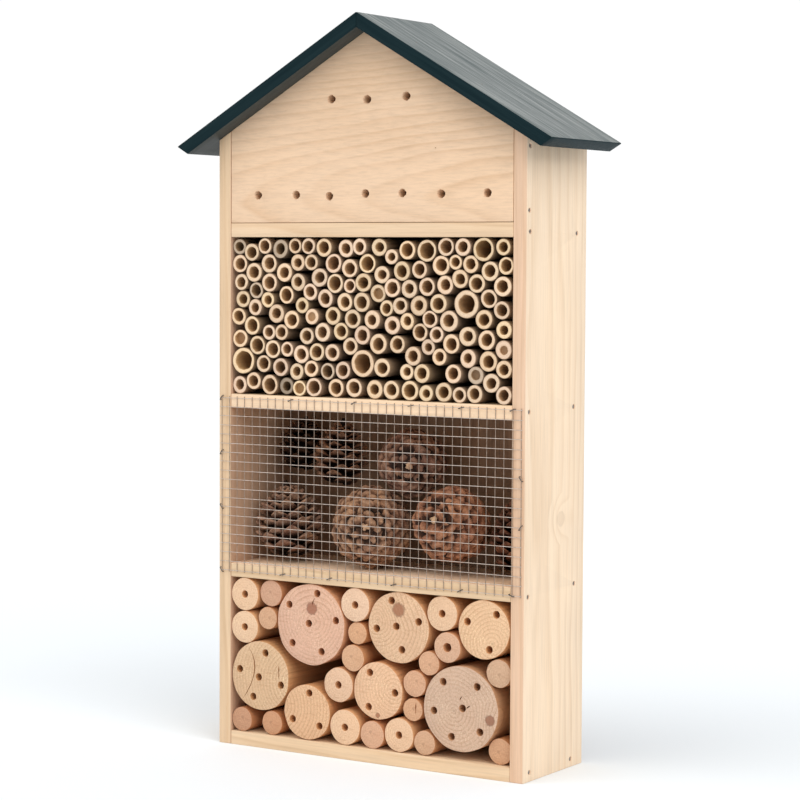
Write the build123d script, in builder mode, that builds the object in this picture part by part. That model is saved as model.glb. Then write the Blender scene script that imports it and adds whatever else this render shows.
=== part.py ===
from build123d import *
import math
import os

# Insect hotel: a gabled pine box in three bays, of canes, pine cones and drilled logs.
# X runs across the front, +Y runs from the front to the back, +Z is up.
# The origin is on the ground, under the centre of the roof's plan.

# ---------------------------------------------------------------- driving sizes, millimetres
total_height = 500.0
body_width = 244.0
board = 10.0            # side boards and gable
shelf = 9.5             # base and shelves
front_y = -33.0         # front edges of all the boards
rear_y = 47.0           # rear edges of the side boards and of the roof
roof_front_y = -47.0    # the roof overhangs the front only
roof_thickness = 9.0
roof_slope = 30.0
roof_half_width = 148.0
back_thickness = 5.0
back_recess = 2.0       # the back panel sits this far inside the rear edges

lower_shelf_z = 117.5
middle_shelf_z = 235.0
upper_shelf_z = 352.5

inner_x = body_width / 2 - board
back_front_y = rear_y - back_recess - back_thickness
bay_depth = back_front_y - front_y

mesh_wire = 0.6
mesh_pitch_x = 6.45
mesh_pitch_z = 6.3
mesh_columns = 38
mesh_rows = 20
mesh_top_z = 241.7
mesh_stub = 1.2

slope_tan = math.tan(math.radians(roof_slope))
slope_cos = math.cos(math.radians(roof_slope))
ridge_under_z = total_height - roof_thickness / slope_cos


def under_roof(x):
    """Height of the roof's underside at a distance x from the ridge."""
    return ridge_under_z - abs(x) * slope_tan


os.makedirs("parts", exist_ok=True)


def save(part, name):
    """Label a finished piece and write its STEP file."""
    part.label = name
    export_step(part, f"parts/{name}.step")


# ---------------------------------------------------------------- fasteners
# Each is a head and a shank, and the boards get the matching hole. (head r, head h, shank r, length)
NAIL = (1.4, 0.8, 0.8, 28.0)
BRAD = (0.9, 0.6, 0.6, 20.0)
SCREW = (3.0, 1.2, 1.5, 14.0)

# nails through the side boards: (distance in from the front edge, height), the same on both sides
NAIL_PLACES = [
    (3.8, 410.7), (3.4, 369.6),
    (4.6, 356.0), (67.0, 355.5),
    (5.0, 240.5), (64.5, 241.0),
    (5.0, 121.0), (67.0, 123.0),
    (8.5, 6.2), (64.0, 5.4),
]
frame_nail_planes = [
    Plane(origin=(side * body_width / 2, front_y + depth, z), z_dir=(-side, 0, 0))
    for side in (-1, 1)
    for depth, z in NAIL_PLACES
]

# brads down through the roof boards into the gable and into the side boards' tops
ROOF_BRADS = [(35.0, front_y + 5.0), (85.0, front_y + 5.0), (124.0, 0.0), (124.0, 30.0)]
roof_brad_planes = [
    Plane(
        origin=(side * x, y, total_height - x * slope_tan),
        z_dir=(-side * math.sin(math.radians(roof_slope)), 0, -slope_cos),
    )
    for side in (-1, 1)
    for x, y in ROOF_BRADS
]

# brads through the back panel into the rear edges of the base and the shelves
back_face_y = rear_y - back_recess
back_brad_planes = [
    Plane(origin=(x, back_face_y, z + shelf / 2), z_dir=(0, -1, 0))
    for z in (0.0, lower_shelf_z, middle_shelf_z, upper_shelf_z)
    for x in (-86.0, -30.0, 30.0, 86.0)
]

# the hanger plate is screwed through the back panel into the upper shelf
plate_thickness = 1.5
hanger_screw_x = 12.0
hanger_hole_z = 376.0
hanger_hole_r = 3.5
hanger_pocket_r = 6.5
hanger_pocket_depth = 3.5
hanger_screw_z = upper_shelf_z + shelf / 2
hanger_screw_planes = [
    Plane(origin=(x, back_face_y + plate_thickness, hanger_screw_z), z_dir=(0, -1, 0))
    for x in (-hanger_screw_x, hanger_screw_x)
]


def fasteners(planes, size, mode=Mode.ADD):
    """Place a head and a shank at each plane, driven along the plane's +Z."""
    head_r, head_h, shank_r, length = size
    for plane in planes:
        with Locations(plane.location):
            Cylinder(head_r, head_h, align=(Align.CENTER, Align.CENTER, Align.MIN), mode=mode)
            Cylinder(shank_r, length, align=(Align.CENTER, Align.CENTER, Align.MIN), mode=mode)


# ---------------------------------------------------------------- staples over the wire mesh
# Each staple straddles a crossing of two wires: (column from the left, row from the top, tilt)
STAPLES = [
    (0, 0, 62), (9, 0, 28), (17, 0, 33), (24, 0, 20), (30, 0, 26), (36, 0, 30),
    (0, 19, 118), (8, 19, 24), (14, 19, 31), (22, 19, 27), (30, 19, 35), (36, 19, 150),
    (0, 6, 64), (0, 12, 118), (37, 7, 116), (37, 12, 62),
]
staple_wire = 0.6
staple_span = 3.6
staple_leg = 5.0
board_to_wire = 0.05      # gap between the boards' front edges and the upright wires
wire_to_wire = 0.02       # gap where one wire crosses another, and under a staple
mesh_left_x = -mesh_pitch_x * (mesh_columns - 1) / 2
upright_y = front_y - mesh_wire / 2 - board_to_wire
cross_y = upright_y - mesh_wire - wire_to_wire
crown_y = cross_y - mesh_wire / 2 - wire_to_wire - staple_wire / 2


def column_x(column):
    return mesh_left_x + column * mesh_pitch_x


def row_z(row):
    return mesh_top_z - row * mesh_pitch_z


def staples(mode=Mode.ADD):
    """Square-wire staples, driven straight back into the boards."""
    for column, row, tilt in STAPLES:
        centre = (column_x(column), crown_y, row_z(row))
        along = (math.cos(math.radians(tilt)), 0, math.sin(math.radians(tilt)))
        place = Plane(origin=centre, x_dir=along, z_dir=(0, -1, 0))
        with Locations(place.location):
            Box(staple_span + staple_wire, staple_wire, staple_wire, mode=mode)
            with Locations((-staple_span / 2, 0, 0), (staple_span / 2, 0, 0)):
                Box(staple_wire, staple_wire, staple_leg,
                    align=(Align.CENTER, Align.CENTER, Align.MAX), mode=mode)


# ---------------------------------------------------------------- side boards
def side_board(side, name):
    """Upright board, its top bevelled to lie under the roof."""
    outer = side * body_width / 2
    inner = side * inner_x
    with BuildPart() as wall:
        with BuildSketch(Plane.XZ.offset(-front_y)):
            with BuildLine():
                Polyline(
                    (outer, 0), (outer, under_roof(outer)),
                    (inner, under_roof(inner)), (inner, 0), close=True,
                )
            make_face()
        extrude(amount=-(rear_y - front_y))
        fasteners(frame_nail_planes, NAIL, Mode.SUBTRACT)
        fasteners(roof_brad_planes, BRAD, Mode.SUBTRACT)
        staples(Mode.SUBTRACT)
    save(wall.part, name)


side_board(-1, "left_side")
side_board(1, "right_side")


# ---------------------------------------------------------------- base and shelves
def flat_board(z, name):
    """Board between the two sides, from the front edge back to the back panel."""
    with BuildPart() as plank:
        with BuildSketch(Plane.XY.offset(z)):
            with Locations((0, front_y + bay_depth / 2)):
                Rectangle(2 * inner_x, bay_depth)
        extrude(amount=shelf)
        fasteners(frame_nail_planes, NAIL, Mode.SUBTRACT)
        fasteners(back_brad_planes, BRAD, Mode.SUBTRACT)
        fasteners(hanger_screw_planes, SCREW, Mode.SUBTRACT)
        staples(Mode.SUBTRACT)
    save(plank.part, name)


flat_board(0.0, "base_board")
flat_board(lower_shelf_z, "lower_shelf")
flat_board(middle_shelf_z, "middle_shelf")
flat_board(upper_shelf_z, "upper_shelf")

# ---------------------------------------------------------------- gable front, with entry holes
gable_hole_r = 2.9
GABLE_HOLES = [
    (-28.8, 444.4), (-0.3, 443.4), (30.4, 444.6),
    (-89.1, 380.9), (-57.5, 380.9), (-30.4, 379.8), (-1.5, 381.3),
    (27.5, 381.3), (57.5, 380.6), (92.5, 380.9),
]
gable_bottom_z = upper_shelf_z + shelf

with BuildPart() as gable:
    with BuildSketch(Plane.XZ.offset(-front_y)):
        with BuildLine():
            Polyline(
                (-inner_x, gable_bottom_z), (-inner_x, under_roof(inner_x)), (0, ridge_under_z),
                (inner_x, under_roof(inner_x)), (inner_x, gable_bottom_z), close=True,
            )
        make_face()
        with Locations(*GABLE_HOLES):
            Circle(gable_hole_r, mode=Mode.SUBTRACT)
    extrude(amount=-board)
    fasteners(frame_nail_planes, NAIL, Mode.SUBTRACT)
    fasteners(roof_brad_planes, BRAD, Mode.SUBTRACT)
save(gable.part, "gable_front")

# ---------------------------------------------------------------- back panel
with BuildPart() as back:
    with BuildSketch(Plane.XZ.offset(-back_front_y)):
        with BuildLine():
            Polyline(
                (-inner_x, 0), (-inner_x, under_roof(inner_x)), (0, ridge_under_z),
                (inner_x, under_roof(inner_x)), (inner_x, 0), close=True,
            )
        make_face()
    extrude(amount=-back_thickness)
    with Locations(Plane(origin=(0, back_face_y, hanger_hole_z), z_dir=(0, -1, 0)).location):
        Cylinder(hanger_pocket_r, hanger_pocket_depth,
                 align=(Align.CENTER, Align.CENTER, Align.MIN), mode=Mode.SUBTRACT)
    fasteners(back_brad_planes, BRAD, Mode.SUBTRACT)
    fasteners(hanger_screw_planes, SCREW, Mode.SUBTRACT)
save(back.part, "back_panel")

# ---------------------------------------------------------------- roof boards
eave_face = roof_thickness / math.sin(math.radians(2 * roof_slope))
eave_tip_z = total_height - roof_half_width * slope_tan
eave_inner_x = roof_half_width - eave_face * slope_cos
eave_inner_z = eave_tip_z - eave_face * math.sin(math.radians(roof_slope))


def roof_board(side, name):
    """Sloping board with a plumb cut at the ridge and an undercut at the eave."""
    with BuildPart() as slope:
        with BuildSketch(Plane.XZ.offset(-roof_front_y)):
            with BuildLine():
                Polyline(
                    (0, total_height), (side * roof_half_width, eave_tip_z),
                    (side * eave_inner_x, eave_inner_z), (0, ridge_under_z), close=True,
                )
            make_face()
        extrude(amount=-(rear_y - roof_front_y))
        fasteners(roof_brad_planes, BRAD, Mode.SUBTRACT)
    save(slope.part, name)


roof_board(-1, "roof_left")
roof_board(1, "roof_right")

# ---------------------------------------------------------------- nails, brads and staples
with BuildPart() as nails:
    fasteners(frame_nail_planes, NAIL)
save(nails.part, "frame_nails")

with BuildPart() as brads:
    fasteners(roof_brad_planes, BRAD)
    fasteners(back_brad_planes, BRAD)
save(brads.part, "brads")

with BuildPart() as staple_set:
    staples()
save(staple_set.part, "mesh_staples")

# ---------------------------------------------------------------- hanger plate and its screws
plate_corner_r = 7.5
with BuildPart() as plate:
    with BuildSketch(Plane.XZ.offset(-back_face_y)):
        with Locations(
            (-hanger_screw_x, hanger_screw_z), (hanger_screw_x, hanger_screw_z), (0, hanger_hole_z)
        ):
            Circle(plate_corner_r)
        make_hull()
        with Locations((0, hanger_hole_z)):
            Circle(hanger_hole_r, mode=Mode.SUBTRACT)
    extrude(amount=-plate_thickness)
    fasteners(hanger_screw_planes, SCREW, Mode.SUBTRACT)
save(plate.part, "hanger_plate")

with BuildPart() as screws:
    fasteners(hanger_screw_planes, SCREW)
save(screws.part, "hanger_screws")

# ---------------------------------------------------------------- wire mesh over the cone bay
mesh_bottom_z = row_z(mesh_rows - 1)
upright_length = mesh_top_z - mesh_bottom_z + 2 * mesh_stub
cross_length = mesh_pitch_x * (mesh_columns - 1) + 2 * mesh_stub
with BuildPart() as mesh:
    for column in range(mesh_columns):
        with Locations((column_x(column), upright_y, mesh_bottom_z - mesh_stub)):
            Cylinder(mesh_wire / 2, upright_length, align=(Align.CENTER, Align.CENTER, Align.MIN))
    for row in range(mesh_rows):
        with Locations((0, cross_y, row_z(row))):
            Cylinder(mesh_wire / 2, cross_length, rotation=(0, 90, 0))
save(mesh.part, "wire_mesh")

# ---------------------------------------------------------------- logs in the bottom bay
log_hole_r = 2.5
log_hole_depth = 55.0
log_length = 69.0

# large debarked logs: (x, z, diameter, inset from the front, drilled holes)
DRILLED_LOGS = [
    (-44.9, 89.3, 56.0, 0.6,
     [(-39.7, 111.1), (-62.7, 101.8), (-24.4, 93.8), (-46.6, 90.1), (-60.1, 75.6), (-36.0, 71.6)]),
    (-87.4, 50.0, 48.4, 0.8,
     [(-82.9, 66.3), (-104.7, 53.4), (-88.6, 49.1), (-69.9, 45.2), (-93.3, 35.1)]),
    (-47.8, 28.9, 38.2, 0.5, [(-46.0, 42.3), (-59.7, 23.2), (-37.6, 20.4)]),
    (25.6, 93.4, 47.8, 1.0,
     [(20.1, 111.1), (41.4, 98.6), (23.9, 94.1), (8.4, 91.4), (28.4, 78.8)]),
    (91.7, 97.8, 39.2, 0.7, [(79.2, 102.1), (101.1, 108.4), (95.9, 85.0)]),
    (9.6, 49.3, 39.2, 0.9, [(3.1, 61.2), (23.1, 49.3), (2.2, 37.9)]),
    (74.4, 43.8, 57.4, 0.6,
     [(61.0, 60.7), (86.9, 59.8), (75.9, 44.5), (53.9, 40.9), (89.2, 30.2), (67.6, 24.9)]),
]

# branches drilled once through the middle: (x, z, diameter, inset, hole radius)
DRILLED_BRANCHES = [
    (-100.2, 105.9, 22.8, 0.4, 2.5),
    (-100.4, 83.1, 22.6, 0.6, 2.5),
    (-8.9, 105.8, 23.0, 0.7, 2.5),
    (-22.3, 50.2, 23.6, 0.9, 2.5),
    (-16.8, 21.9, 24.2, 0.6, 2.5),
    (59.7, 105.6, 23.4, 0.8, 2.5),
    (64.0, 83.6, 20.4, 0.5, 3.0),
    (26.5, 21.3, 23.0, 0.7, 2.5),
]

# undrilled branches that fill the gaps: (x, z, diameter, inset)
PLAIN_BRANCHES = [
    (-78.9, 108.0, 18.4, 1.6),
    (-81.4, 90.6, 15.6, 1.2),
    (-7.6, 86.6, 15.2, 1.6),
    (-10.8, 69.6, 18.2, 1.0),
    (-103.4, 18.1, 17.0, 1.4),
    (-78.0, 18.1, 16.8, 1.8),
    (5.0, 19.1, 19.0, 1.0),
    (49.4, 71.6, 16.2, 1.3),
    (38.4, 57.0, 17.8, 1.1),
    (36.9, 39.4, 15.4, 1.4),
    (46.3, 18.2, 16.6, 1.2),
    (102.4, 69.8, 18.8, 1.8),
    (102.8, 18.4, 17.6, 3.6),
]


def round_wood(name, x, z, diameter, inset, holes, hole_r):
    """Length of round wood lying front to back, drilled from its front end."""
    face = Plane.XZ.offset(-(front_y + inset))
    with BuildPart() as log:
        with BuildSketch(face):
            with Locations((x, z)):
                Circle(diameter / 2)
        extrude(amount=-log_length)
        if holes:
            with BuildSketch(face):
                with Locations(*holes):
                    Circle(hole_r)
            extrude(amount=-log_hole_depth, mode=Mode.SUBTRACT)
    save(log.part, name)


for number, (x, z, diameter, inset, holes) in enumerate(DRILLED_LOGS, 1):
    round_wood(f"drilled_log_{number}", x, z, diameter, inset, holes, log_hole_r)
for number, (x, z, diameter, inset, hole_r) in enumerate(DRILLED_BRANCHES, 1):
    round_wood(f"drilled_branch_{number}", x, z, diameter, inset, [(x, z)], hole_r)
for number, (x, z, diameter, inset) in enumerate(PLAIN_BRANCHES, 1):
    round_wood(f"plain_branch_{number}", x, z, diameter, inset, [], 0)

# ---------------------------------------------------------------- pine cones in the middle bay
cone_rings = 8
cone_widest = 0.3         # where a cone is widest, as a share of its length from the stem end
cone_stem_share = 0.62    # radius at the stem end, as a share of the largest
cone_taper = 0.94         # how much of a quarter wave the outline runs through to the tip
cone_fullness = 0.8       # below 1 the outline stays fuller towards the tip
cone_tip_share = 0.1
cone_step_share = 0.86    # each ring of scales starts this far in from the one before it
# (stem end x, distance in from the front, z), direction to the tip, length, largest radius
CONES = [
    ((-79.0, 29.0, 129.9), (-0.16, 0.03, 1.0), 58.0, 26.5),
    ((-15.0, 4.5, 158.0), (-0.03, 1.0, -0.07), 62.0, 26.5),
    ((48.0, 6.0, 152.5), (0.08, 0.90, 0.34), 60.0, 24.5),
    ((13.0, 19.0, 199.5), (-0.12, 1.0, 0.03), 50.0, 22.5),
    ((-46.0, 36.0, 181.0), (0.05, 0.04, 1.0), 51.0, 21.5),
    ((90.5, 47.0, 128.3), (-0.04, 0.05, 1.0), 58.0, 20.5),
    ((-89.0, 51.0, 188.5), (0.10, 0.04, 1.0), 42.0, 18.0),
]


def cone_radius(t, largest):
    """Egg outline of a cone, from its stem end at t = 0 to its tip at t = 1."""
    if t < cone_widest:
        swell = math.sin(math.pi / 2 * t / cone_widest)
        return largest * (cone_stem_share + (1 - cone_stem_share) * swell)
    fall = cone_taper * (t - cone_widest) / (1 - cone_widest)
    return largest * math.cos(math.pi / 2 * fall) ** cone_fullness


def pine_cone(name, stem, direction, length, largest):
    """Rings of scales, each stepping in where the next ring starts."""
    origin = Vector(stem[0], front_y + stem[1], stem[2])
    axis_direction = Vector(*direction).normalized()
    side_direction = axis_direction.cross(Vector(0.3, 0.5, 0.1)).normalized()
    outline = [(0, 0), (cone_radius(0, largest), 0)]
    for ring in range(1, cone_rings + 1):
        t = ring / cone_rings
        outer = cone_radius(t, largest) if ring < cone_rings else cone_tip_share * largest
        outline.append((outer, length * t))
        if ring < cone_rings:
            outline.append((cone_step_share * outer, length * t))
    outline.append((0, length))
    profile = Plane(origin=origin, x_dir=side_direction, z_dir=side_direction.cross(axis_direction))
    with BuildPart() as cone:
        with BuildSketch(profile):
            with BuildLine():
                Polyline(*outline, close=True)
            make_face()
        revolve(axis=Axis(origin, axis_direction))
    save(cone.part, name)


for number, (stem, direction, length, largest) in enumerate(CONES, 1):
    pine_cone(f"pine_cone_{number}", stem, direction, length, largest)

# ---------------------------------------------------------------- bamboo canes in the top bay
# Each row is laid on the one below it: (x, z, outer diameter, bore diameter)
CANE_ROWS = [
    [(-105.9, 345.9, 10.8, 6.6), (-94.9, 342.2, 12.2, 7.8), (-84.0, 346.4, 11.0, 7.6),
     (-71.0, 344.5, 13.0, 7.4), (-59.2, 346.5, 10.6, 7.0), (-47.7, 346.4, 11.2, 7.4),
     (-35.0, 345.0, 12.8, 8.0), (-17.7, 344.9, 12.4, 7.0), (-6.3, 346.1, 11.2, 6.6),
     (9.0, 345.7, 12.0, 6.4), (31.1, 343.9, 12.6, 8.6), (45.7, 343.6, 14.8, 10.8),
     (60.7, 346.0, 12.2, 8.4), (74.1, 346.0, 12.0, 7.0), (89.2, 344.2, 15.8, 11.6),
     (104.1, 346.1, 11.0, 6.6)],
    [(-105.3, 334.3, 12.4, 8.0), (-93.2, 328.1, 13.2, 8.0), (-81.0, 334.3, 13.0, 8.0),
     (-67.7, 328.5, 13.0, 7.4), (-56.5, 335.3, 11.6, 6.0), (-45.3, 335.0, 11.0, 7.0),
     (-28.0, 335.3, 13.2, 9.0), (-14.1, 331.7, 12.6, 8.0), (-0.8, 334.8, 13.0, 9.4),
     (19.0, 339.5, 10.4, 5.4), (27.0, 330.1, 13.2, 8.0), (40.7, 331.2, 12.0, 7.8),
     (57.0, 333.7, 13.2, 8.2), (68.3, 336.1, 10.0, 6.2), (79.9, 335.2, 11.8, 7.0),
     (94.0, 330.3, 13.0, 8.0), (105.9, 334.0, 11.6, 8.0)],
    [(-103.2, 321.9, 11.4, 7.0), (-91.3, 316.0, 11.4, 7.8), (-80.0, 321.3, 12.8, 8.4),
     (-66.3, 313.3, 12.2, 8.6), (-56.1, 321.7, 12.2, 6.6), (-39.7, 325.3, 13.0, 7.4),
     (-26.3, 321.5, 13.2, 9.4), (-14.3, 320.0, 10.0, 6.4), (-3.5, 322.3, 12.8, 7.6),
     (11.0, 327.5, 12.0, 6.2), (19.5, 319.0, 12.6, 8.0), (32.8, 318.0, 12.6, 6.6),
     (46.1, 320.0, 12.4, 8.0), (59.7, 320.8, 12.8, 7.2), (71.7, 325.5, 12.4, 7.0),
     (84.3, 322.3, 12.4, 8.0), (103.7, 320.8, 13.4, 8.0)],
    [(-102.8, 310.0, 12.0, 6.8), (-92.0, 304.7, 11.6, 6.4), (-81.7, 309.9, 11.0, 6.2),
     (-46.8, 316.1, 11.6, 7.0), (-34.3, 311.3, 12.6, 7.6), (-18.3, 309.0, 12.6, 7.2),
     (-4.3, 309.3, 13.4, 8.2), (7.9, 315.2, 12.2, 7.4), (14.7, 305.5, 11.0, 6.8),
     (25.7, 307.0, 11.6, 6.4), (39.7, 307.7, 13.6, 6.6), (55.5, 308.7, 13.0, 8.2),
     (76.7, 309.5, 18.8, 12.0), (93.3, 312.7, 12.4, 8.4), (102.9, 305.5, 12.0, 7.6)],
    [(-105.9, 298.0, 12.0, 7.6), (-95.0, 292.0, 13.0, 8.6), (-74.5, 300.8, 13.0, 7.0),
     (-62.3, 296.2, 13.0, 8.0), (-53.0, 306.5, 11.0, 6.0), (-45.3, 299.0, 11.0, 6.0),
     (-27.7, 299.3, 12.6, 7.4), (-12.0, 298.0, 13.0, 8.0), (3.7, 297.3, 13.0, 6.8),
     (19.7, 294.3, 12.6, 6.4), (32.7, 296.3, 11.4, 6.0), (49.5, 298.9, 11.6, 8.0),
     (62.9, 298.0, 14.2, 8.0), (89.7, 299.3, 13.0, 7.6), (105.3, 293.0, 11.8, 6.0)],
    [(-105.1, 282.8, 12.4, 8.2), (-81.0, 287.5, 10.6, 6.4), (-70.1, 288.1, 11.0, 6.8),
     (-49.3, 285.7, 11.6, 7.0), (-36.0, 288.5, 13.0, 7.4), (-21.0, 289.3, 12.0, 7.4),
     (-3.5, 287.7, 13.0, 7.6), (8.5, 281.7, 13.8, 8.4), (23.9, 281.7, 12.0, 7.6),
     (40.5, 290.3, 12.0, 8.2), (53.9, 289.7, 10.8, 6.6), (65.3, 283.0, 13.0, 8.0),
     (78.0, 288.1, 13.0, 6.8), (91.7, 286.0, 13.2, 8.0), (104.9, 280.1, 12.4, 5.6)],
    [(-101.9, 267.6, 18.2, 13.0), (-90.5, 278.5, 13.0, 9.2), (-77.3, 276.1, 12.6, 8.4),
     (-64.8, 276.3, 10.4, 6.4), (-54.0, 273.3, 12.8, 7.4), (-41.3, 275.0, 12.4, 8.0),
     (-28.3, 275.0, 12.0, 7.0), (-14.0, 279.7, 12.0, 7.0), (-4.0, 268.7, 18.6, 13.0),
     (36.3, 274.3, 12.8, 7.2), (47.2, 281.3, 10.8, 5.4), (55.7, 274.7, 11.4, 6.4),
     (77.9, 273.7, 12.6, 6.2), (92.7, 271.9, 13.6, 8.0), (105.0, 267.5, 12.0, 6.8)],
    [(-85.0, 266.0, 12.0, 8.0), (-70.7, 264.0, 12.8, 8.0), (-57.9, 261.3, 11.8, 6.2),
     (-45.3, 263.7, 11.6, 7.0), (-32.0, 262.3, 11.4, 8.0), (-19.7, 263.3, 12.2, 7.6),
     (12.0, 266.0, 13.0, 7.6), (30.7, 263.7, 11.0, 5.6), (43.0, 263.0, 12.8, 7.4),
     (67.3, 263.5, 12.6, 7.6), (84.7, 263.3, 12.0, 6.6), (95.7, 258.3, 12.8, 7.0)],
    [(-105.6, 250.9, 12.4, 7.0), (-93.7, 254.0, 12.0, 7.4), (-79.9, 251.8, 13.8, 9.4),
     (-66.0, 251.3, 11.6, 6.4), (-54.7, 250.1, 10.8, 7.4), (-42.8, 251.2, 13.0, 9.0),
     (-25.3, 251.3, 12.6, 8.2), (-10.7, 251.8, 12.8, 8.2), (5.5, 251.3, 13.0, 6.8),
     (19.0, 251.3, 12.8, 7.6), (33.7, 251.5, 13.4, 8.8), (46.2, 250.2, 11.2, 5.6),
     (59.7, 251.3, 13.0, 7.6), (71.7, 249.9, 10.6, 6.4), (83.3, 250.9, 12.0, 7.2),
     (105.2, 250.9, 12.0, 7.2)],
]
cane_gap = 0.06
cane_shortest = 67.0
cane_length_spread = 3.0
cane_least_inset = 0.3
cane_inset_spread = 1.4
cane_floor_z = middle_shelf_z + shelf
settle_rounds = 400


def settle(rows):
    """Ease touching canes apart, inside the bay, until none presses into another."""
    canes = [[x, z, outer / 2, bore / 2, row] for row, items in enumerate(rows)
             for x, z, outer, bore in items]
    for _ in range(settle_rounds):
        for i, a in enumerate(canes):
            for b in canes[i + 1:]:
                dx = b[0] - a[0]
                dz = b[1] - a[1]
                apart = math.hypot(dx, dz)
                push = (a[2] + b[2] + cane_gap - apart) / 2
                if push > 0:
                    a[0] -= push * dx / apart
                    a[1] -= push * dz / apart
                    b[0] += push * dx / apart
                    b[1] += push * dz / apart
            room = a[2] + cane_gap
            a[0] = min(max(a[0], room - inner_x), inner_x - room)
            a[1] = min(max(a[1], cane_floor_z + room), upper_shelf_z - room)
    return canes


def uneven(place, step, along, rate):
    """A share from 0 to 1 that hops about from one cane to the next."""
    return (place * step + along * rate) % 1.0


def cane_row(name, canes):
    """Straight lengths of bamboo, bored right through, each set in a little differently."""
    with BuildPart() as row:
        for place, (x, z, outer_r, bore_r, _) in enumerate(canes):
            inset = cane_least_inset + cane_inset_spread * uneven(place, 0.618, z, 0.37)
            length = cane_shortest + cane_length_spread * uneven(place, 0.414, x, 0.21)
            with BuildSketch(Plane.XZ.offset(-(front_y + inset))):
                with Locations((x, z)):
                    Circle(outer_r)
                    Circle(bore_r, mode=Mode.SUBTRACT)
            extrude(amount=-length)
    save(row.part, name)


settled = settle(CANE_ROWS)
for number in range(len(CANE_ROWS)):
    cane_row(f"cane_row_{number + 1}", [cane for cane in settled if cane[4] == number])
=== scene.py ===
import math
import random

import bmesh
import bpy
from mathutils import Matrix, Vector, noise


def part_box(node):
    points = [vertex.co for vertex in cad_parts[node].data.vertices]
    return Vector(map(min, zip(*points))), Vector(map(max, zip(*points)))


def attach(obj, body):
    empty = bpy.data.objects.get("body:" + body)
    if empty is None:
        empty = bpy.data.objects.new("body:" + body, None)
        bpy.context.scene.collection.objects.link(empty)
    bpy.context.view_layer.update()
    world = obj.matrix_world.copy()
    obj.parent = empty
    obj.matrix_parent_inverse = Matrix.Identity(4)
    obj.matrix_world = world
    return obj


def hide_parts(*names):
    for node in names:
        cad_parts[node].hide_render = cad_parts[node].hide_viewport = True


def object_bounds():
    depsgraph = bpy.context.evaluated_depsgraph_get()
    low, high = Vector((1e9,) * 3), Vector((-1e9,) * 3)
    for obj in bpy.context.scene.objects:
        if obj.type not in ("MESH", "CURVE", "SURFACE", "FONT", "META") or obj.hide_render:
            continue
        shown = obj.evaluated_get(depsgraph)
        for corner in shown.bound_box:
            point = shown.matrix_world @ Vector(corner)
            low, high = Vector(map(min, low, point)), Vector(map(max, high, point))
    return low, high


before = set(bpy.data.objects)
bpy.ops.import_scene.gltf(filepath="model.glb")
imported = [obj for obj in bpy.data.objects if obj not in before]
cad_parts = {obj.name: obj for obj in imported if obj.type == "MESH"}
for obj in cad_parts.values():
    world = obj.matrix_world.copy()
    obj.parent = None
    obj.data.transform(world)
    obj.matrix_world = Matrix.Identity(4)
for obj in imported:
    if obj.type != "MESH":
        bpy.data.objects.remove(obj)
cad_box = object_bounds()

# ---------------------------------------------------------------- camera
# A long lens at the height of the upper bays, off to the hotel's right,
# so that the whole front shows, and the right side beside it.
view_place = Vector((0.8846, -1.3776, 0.3407))
view_turn = math.radians(32.54)
view_drop = math.radians(3.43)
view_roll = math.radians(0.26)

lens = bpy.data.cameras.new("view")
lens.lens = 108.85
camera = bpy.data.objects.new("view", lens)
camera.matrix_world = (
    Matrix.Translation(view_place)
    @ Matrix.Rotation(view_turn, 4, "Z")
    @ Matrix.Rotation(math.pi / 2 - view_drop, 4, "X")
    @ Matrix.Rotation(view_roll, 4, "Z")
)
bpy.context.scene.collection.objects.link(camera)
bpy.context.scene.camera = camera
bpy.context.scene.view_settings.view_transform = "Standard"

# ---------------------------------------------------------------- floor and light
# A pale studio floor that runs off into a white room. Broad daylight comes from
# high on the right, and a weaker share of it from the left, both very soft.
floor_reach = 6.0

floor_bm = bmesh.new()
bmesh.ops.create_grid(floor_bm, x_segments=24, y_segments=24, size=floor_reach)
floor_mesh = bpy.data.meshes.new("studio_floor")
floor_bm.to_mesh(floor_mesh)
floor_bm.free()
floor = bpy.data.objects.new("studio_floor", floor_mesh)
floor.location.z = cad_box[0].z
bpy.context.scene.collection.objects.link(floor)

floor_paint = bpy.data.materials.new("studio_floor")
floor_paint.use_nodes = True
floor_shader = floor_paint.node_tree.nodes["Principled BSDF"]
floor_shader.inputs["Base Color"].default_value = (0.885, 0.925, 0.955, 1)
floor_shader.inputs["Roughness"].default_value = 0.9
floor_shader.inputs["Specular IOR Level"].default_value = 0.1
floor_mesh.materials.append(floor_paint)

room = bpy.data.worlds.new("room")
room.use_nodes = True
room_light = 0.70
room_seen = 1.02
room_wall = room.node_tree.nodes["Background"]
room_wall.inputs["Color"].default_value = (1, 1, 1, 1)
looked_at = room.node_tree.nodes.new("ShaderNodeLightPath").outputs["Is Camera Ray"]
wall_strength = room.node_tree.nodes.new("ShaderNodeMapRange")
wall_strength.inputs["To Min"].default_value = room_light
wall_strength.inputs["To Max"].default_value = room_seen
room.node_tree.links.new(looked_at, wall_strength.inputs["Value"])
room.node_tree.links.new(wall_strength.outputs["Result"], room_wall.inputs["Strength"])
bpy.context.scene.world = room


def daylight(name, direction, strength, softness):
    """Even light from one direction, softened over an angle in degrees."""
    light = bpy.data.lights.new(name, "SUN")
    light.energy = strength
    light.angle = math.radians(softness)
    lamp = bpy.data.objects.new(name, light)
    lamp.rotation_euler = Vector(direction).to_track_quat("Z", "Y").to_euler()
    bpy.context.scene.collection.objects.link(lamp)


daylight("right_daylight", (0.72, -0.36, 0.60), 1.40, 45)
daylight("left_daylight", (-0.42, -0.45, 0.79), 0.80, 45)

# ---------------------------------------------------------------- base board
# A plain pine board that the two sides stand against, sawn and lightly sanded.
# Its edges are eased, and its grain runs across the hotel.
mm = 0.001
saw_ease = 0.5 * mm
corner_round = 0.7 * mm
edge_step = 14 * mm


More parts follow.
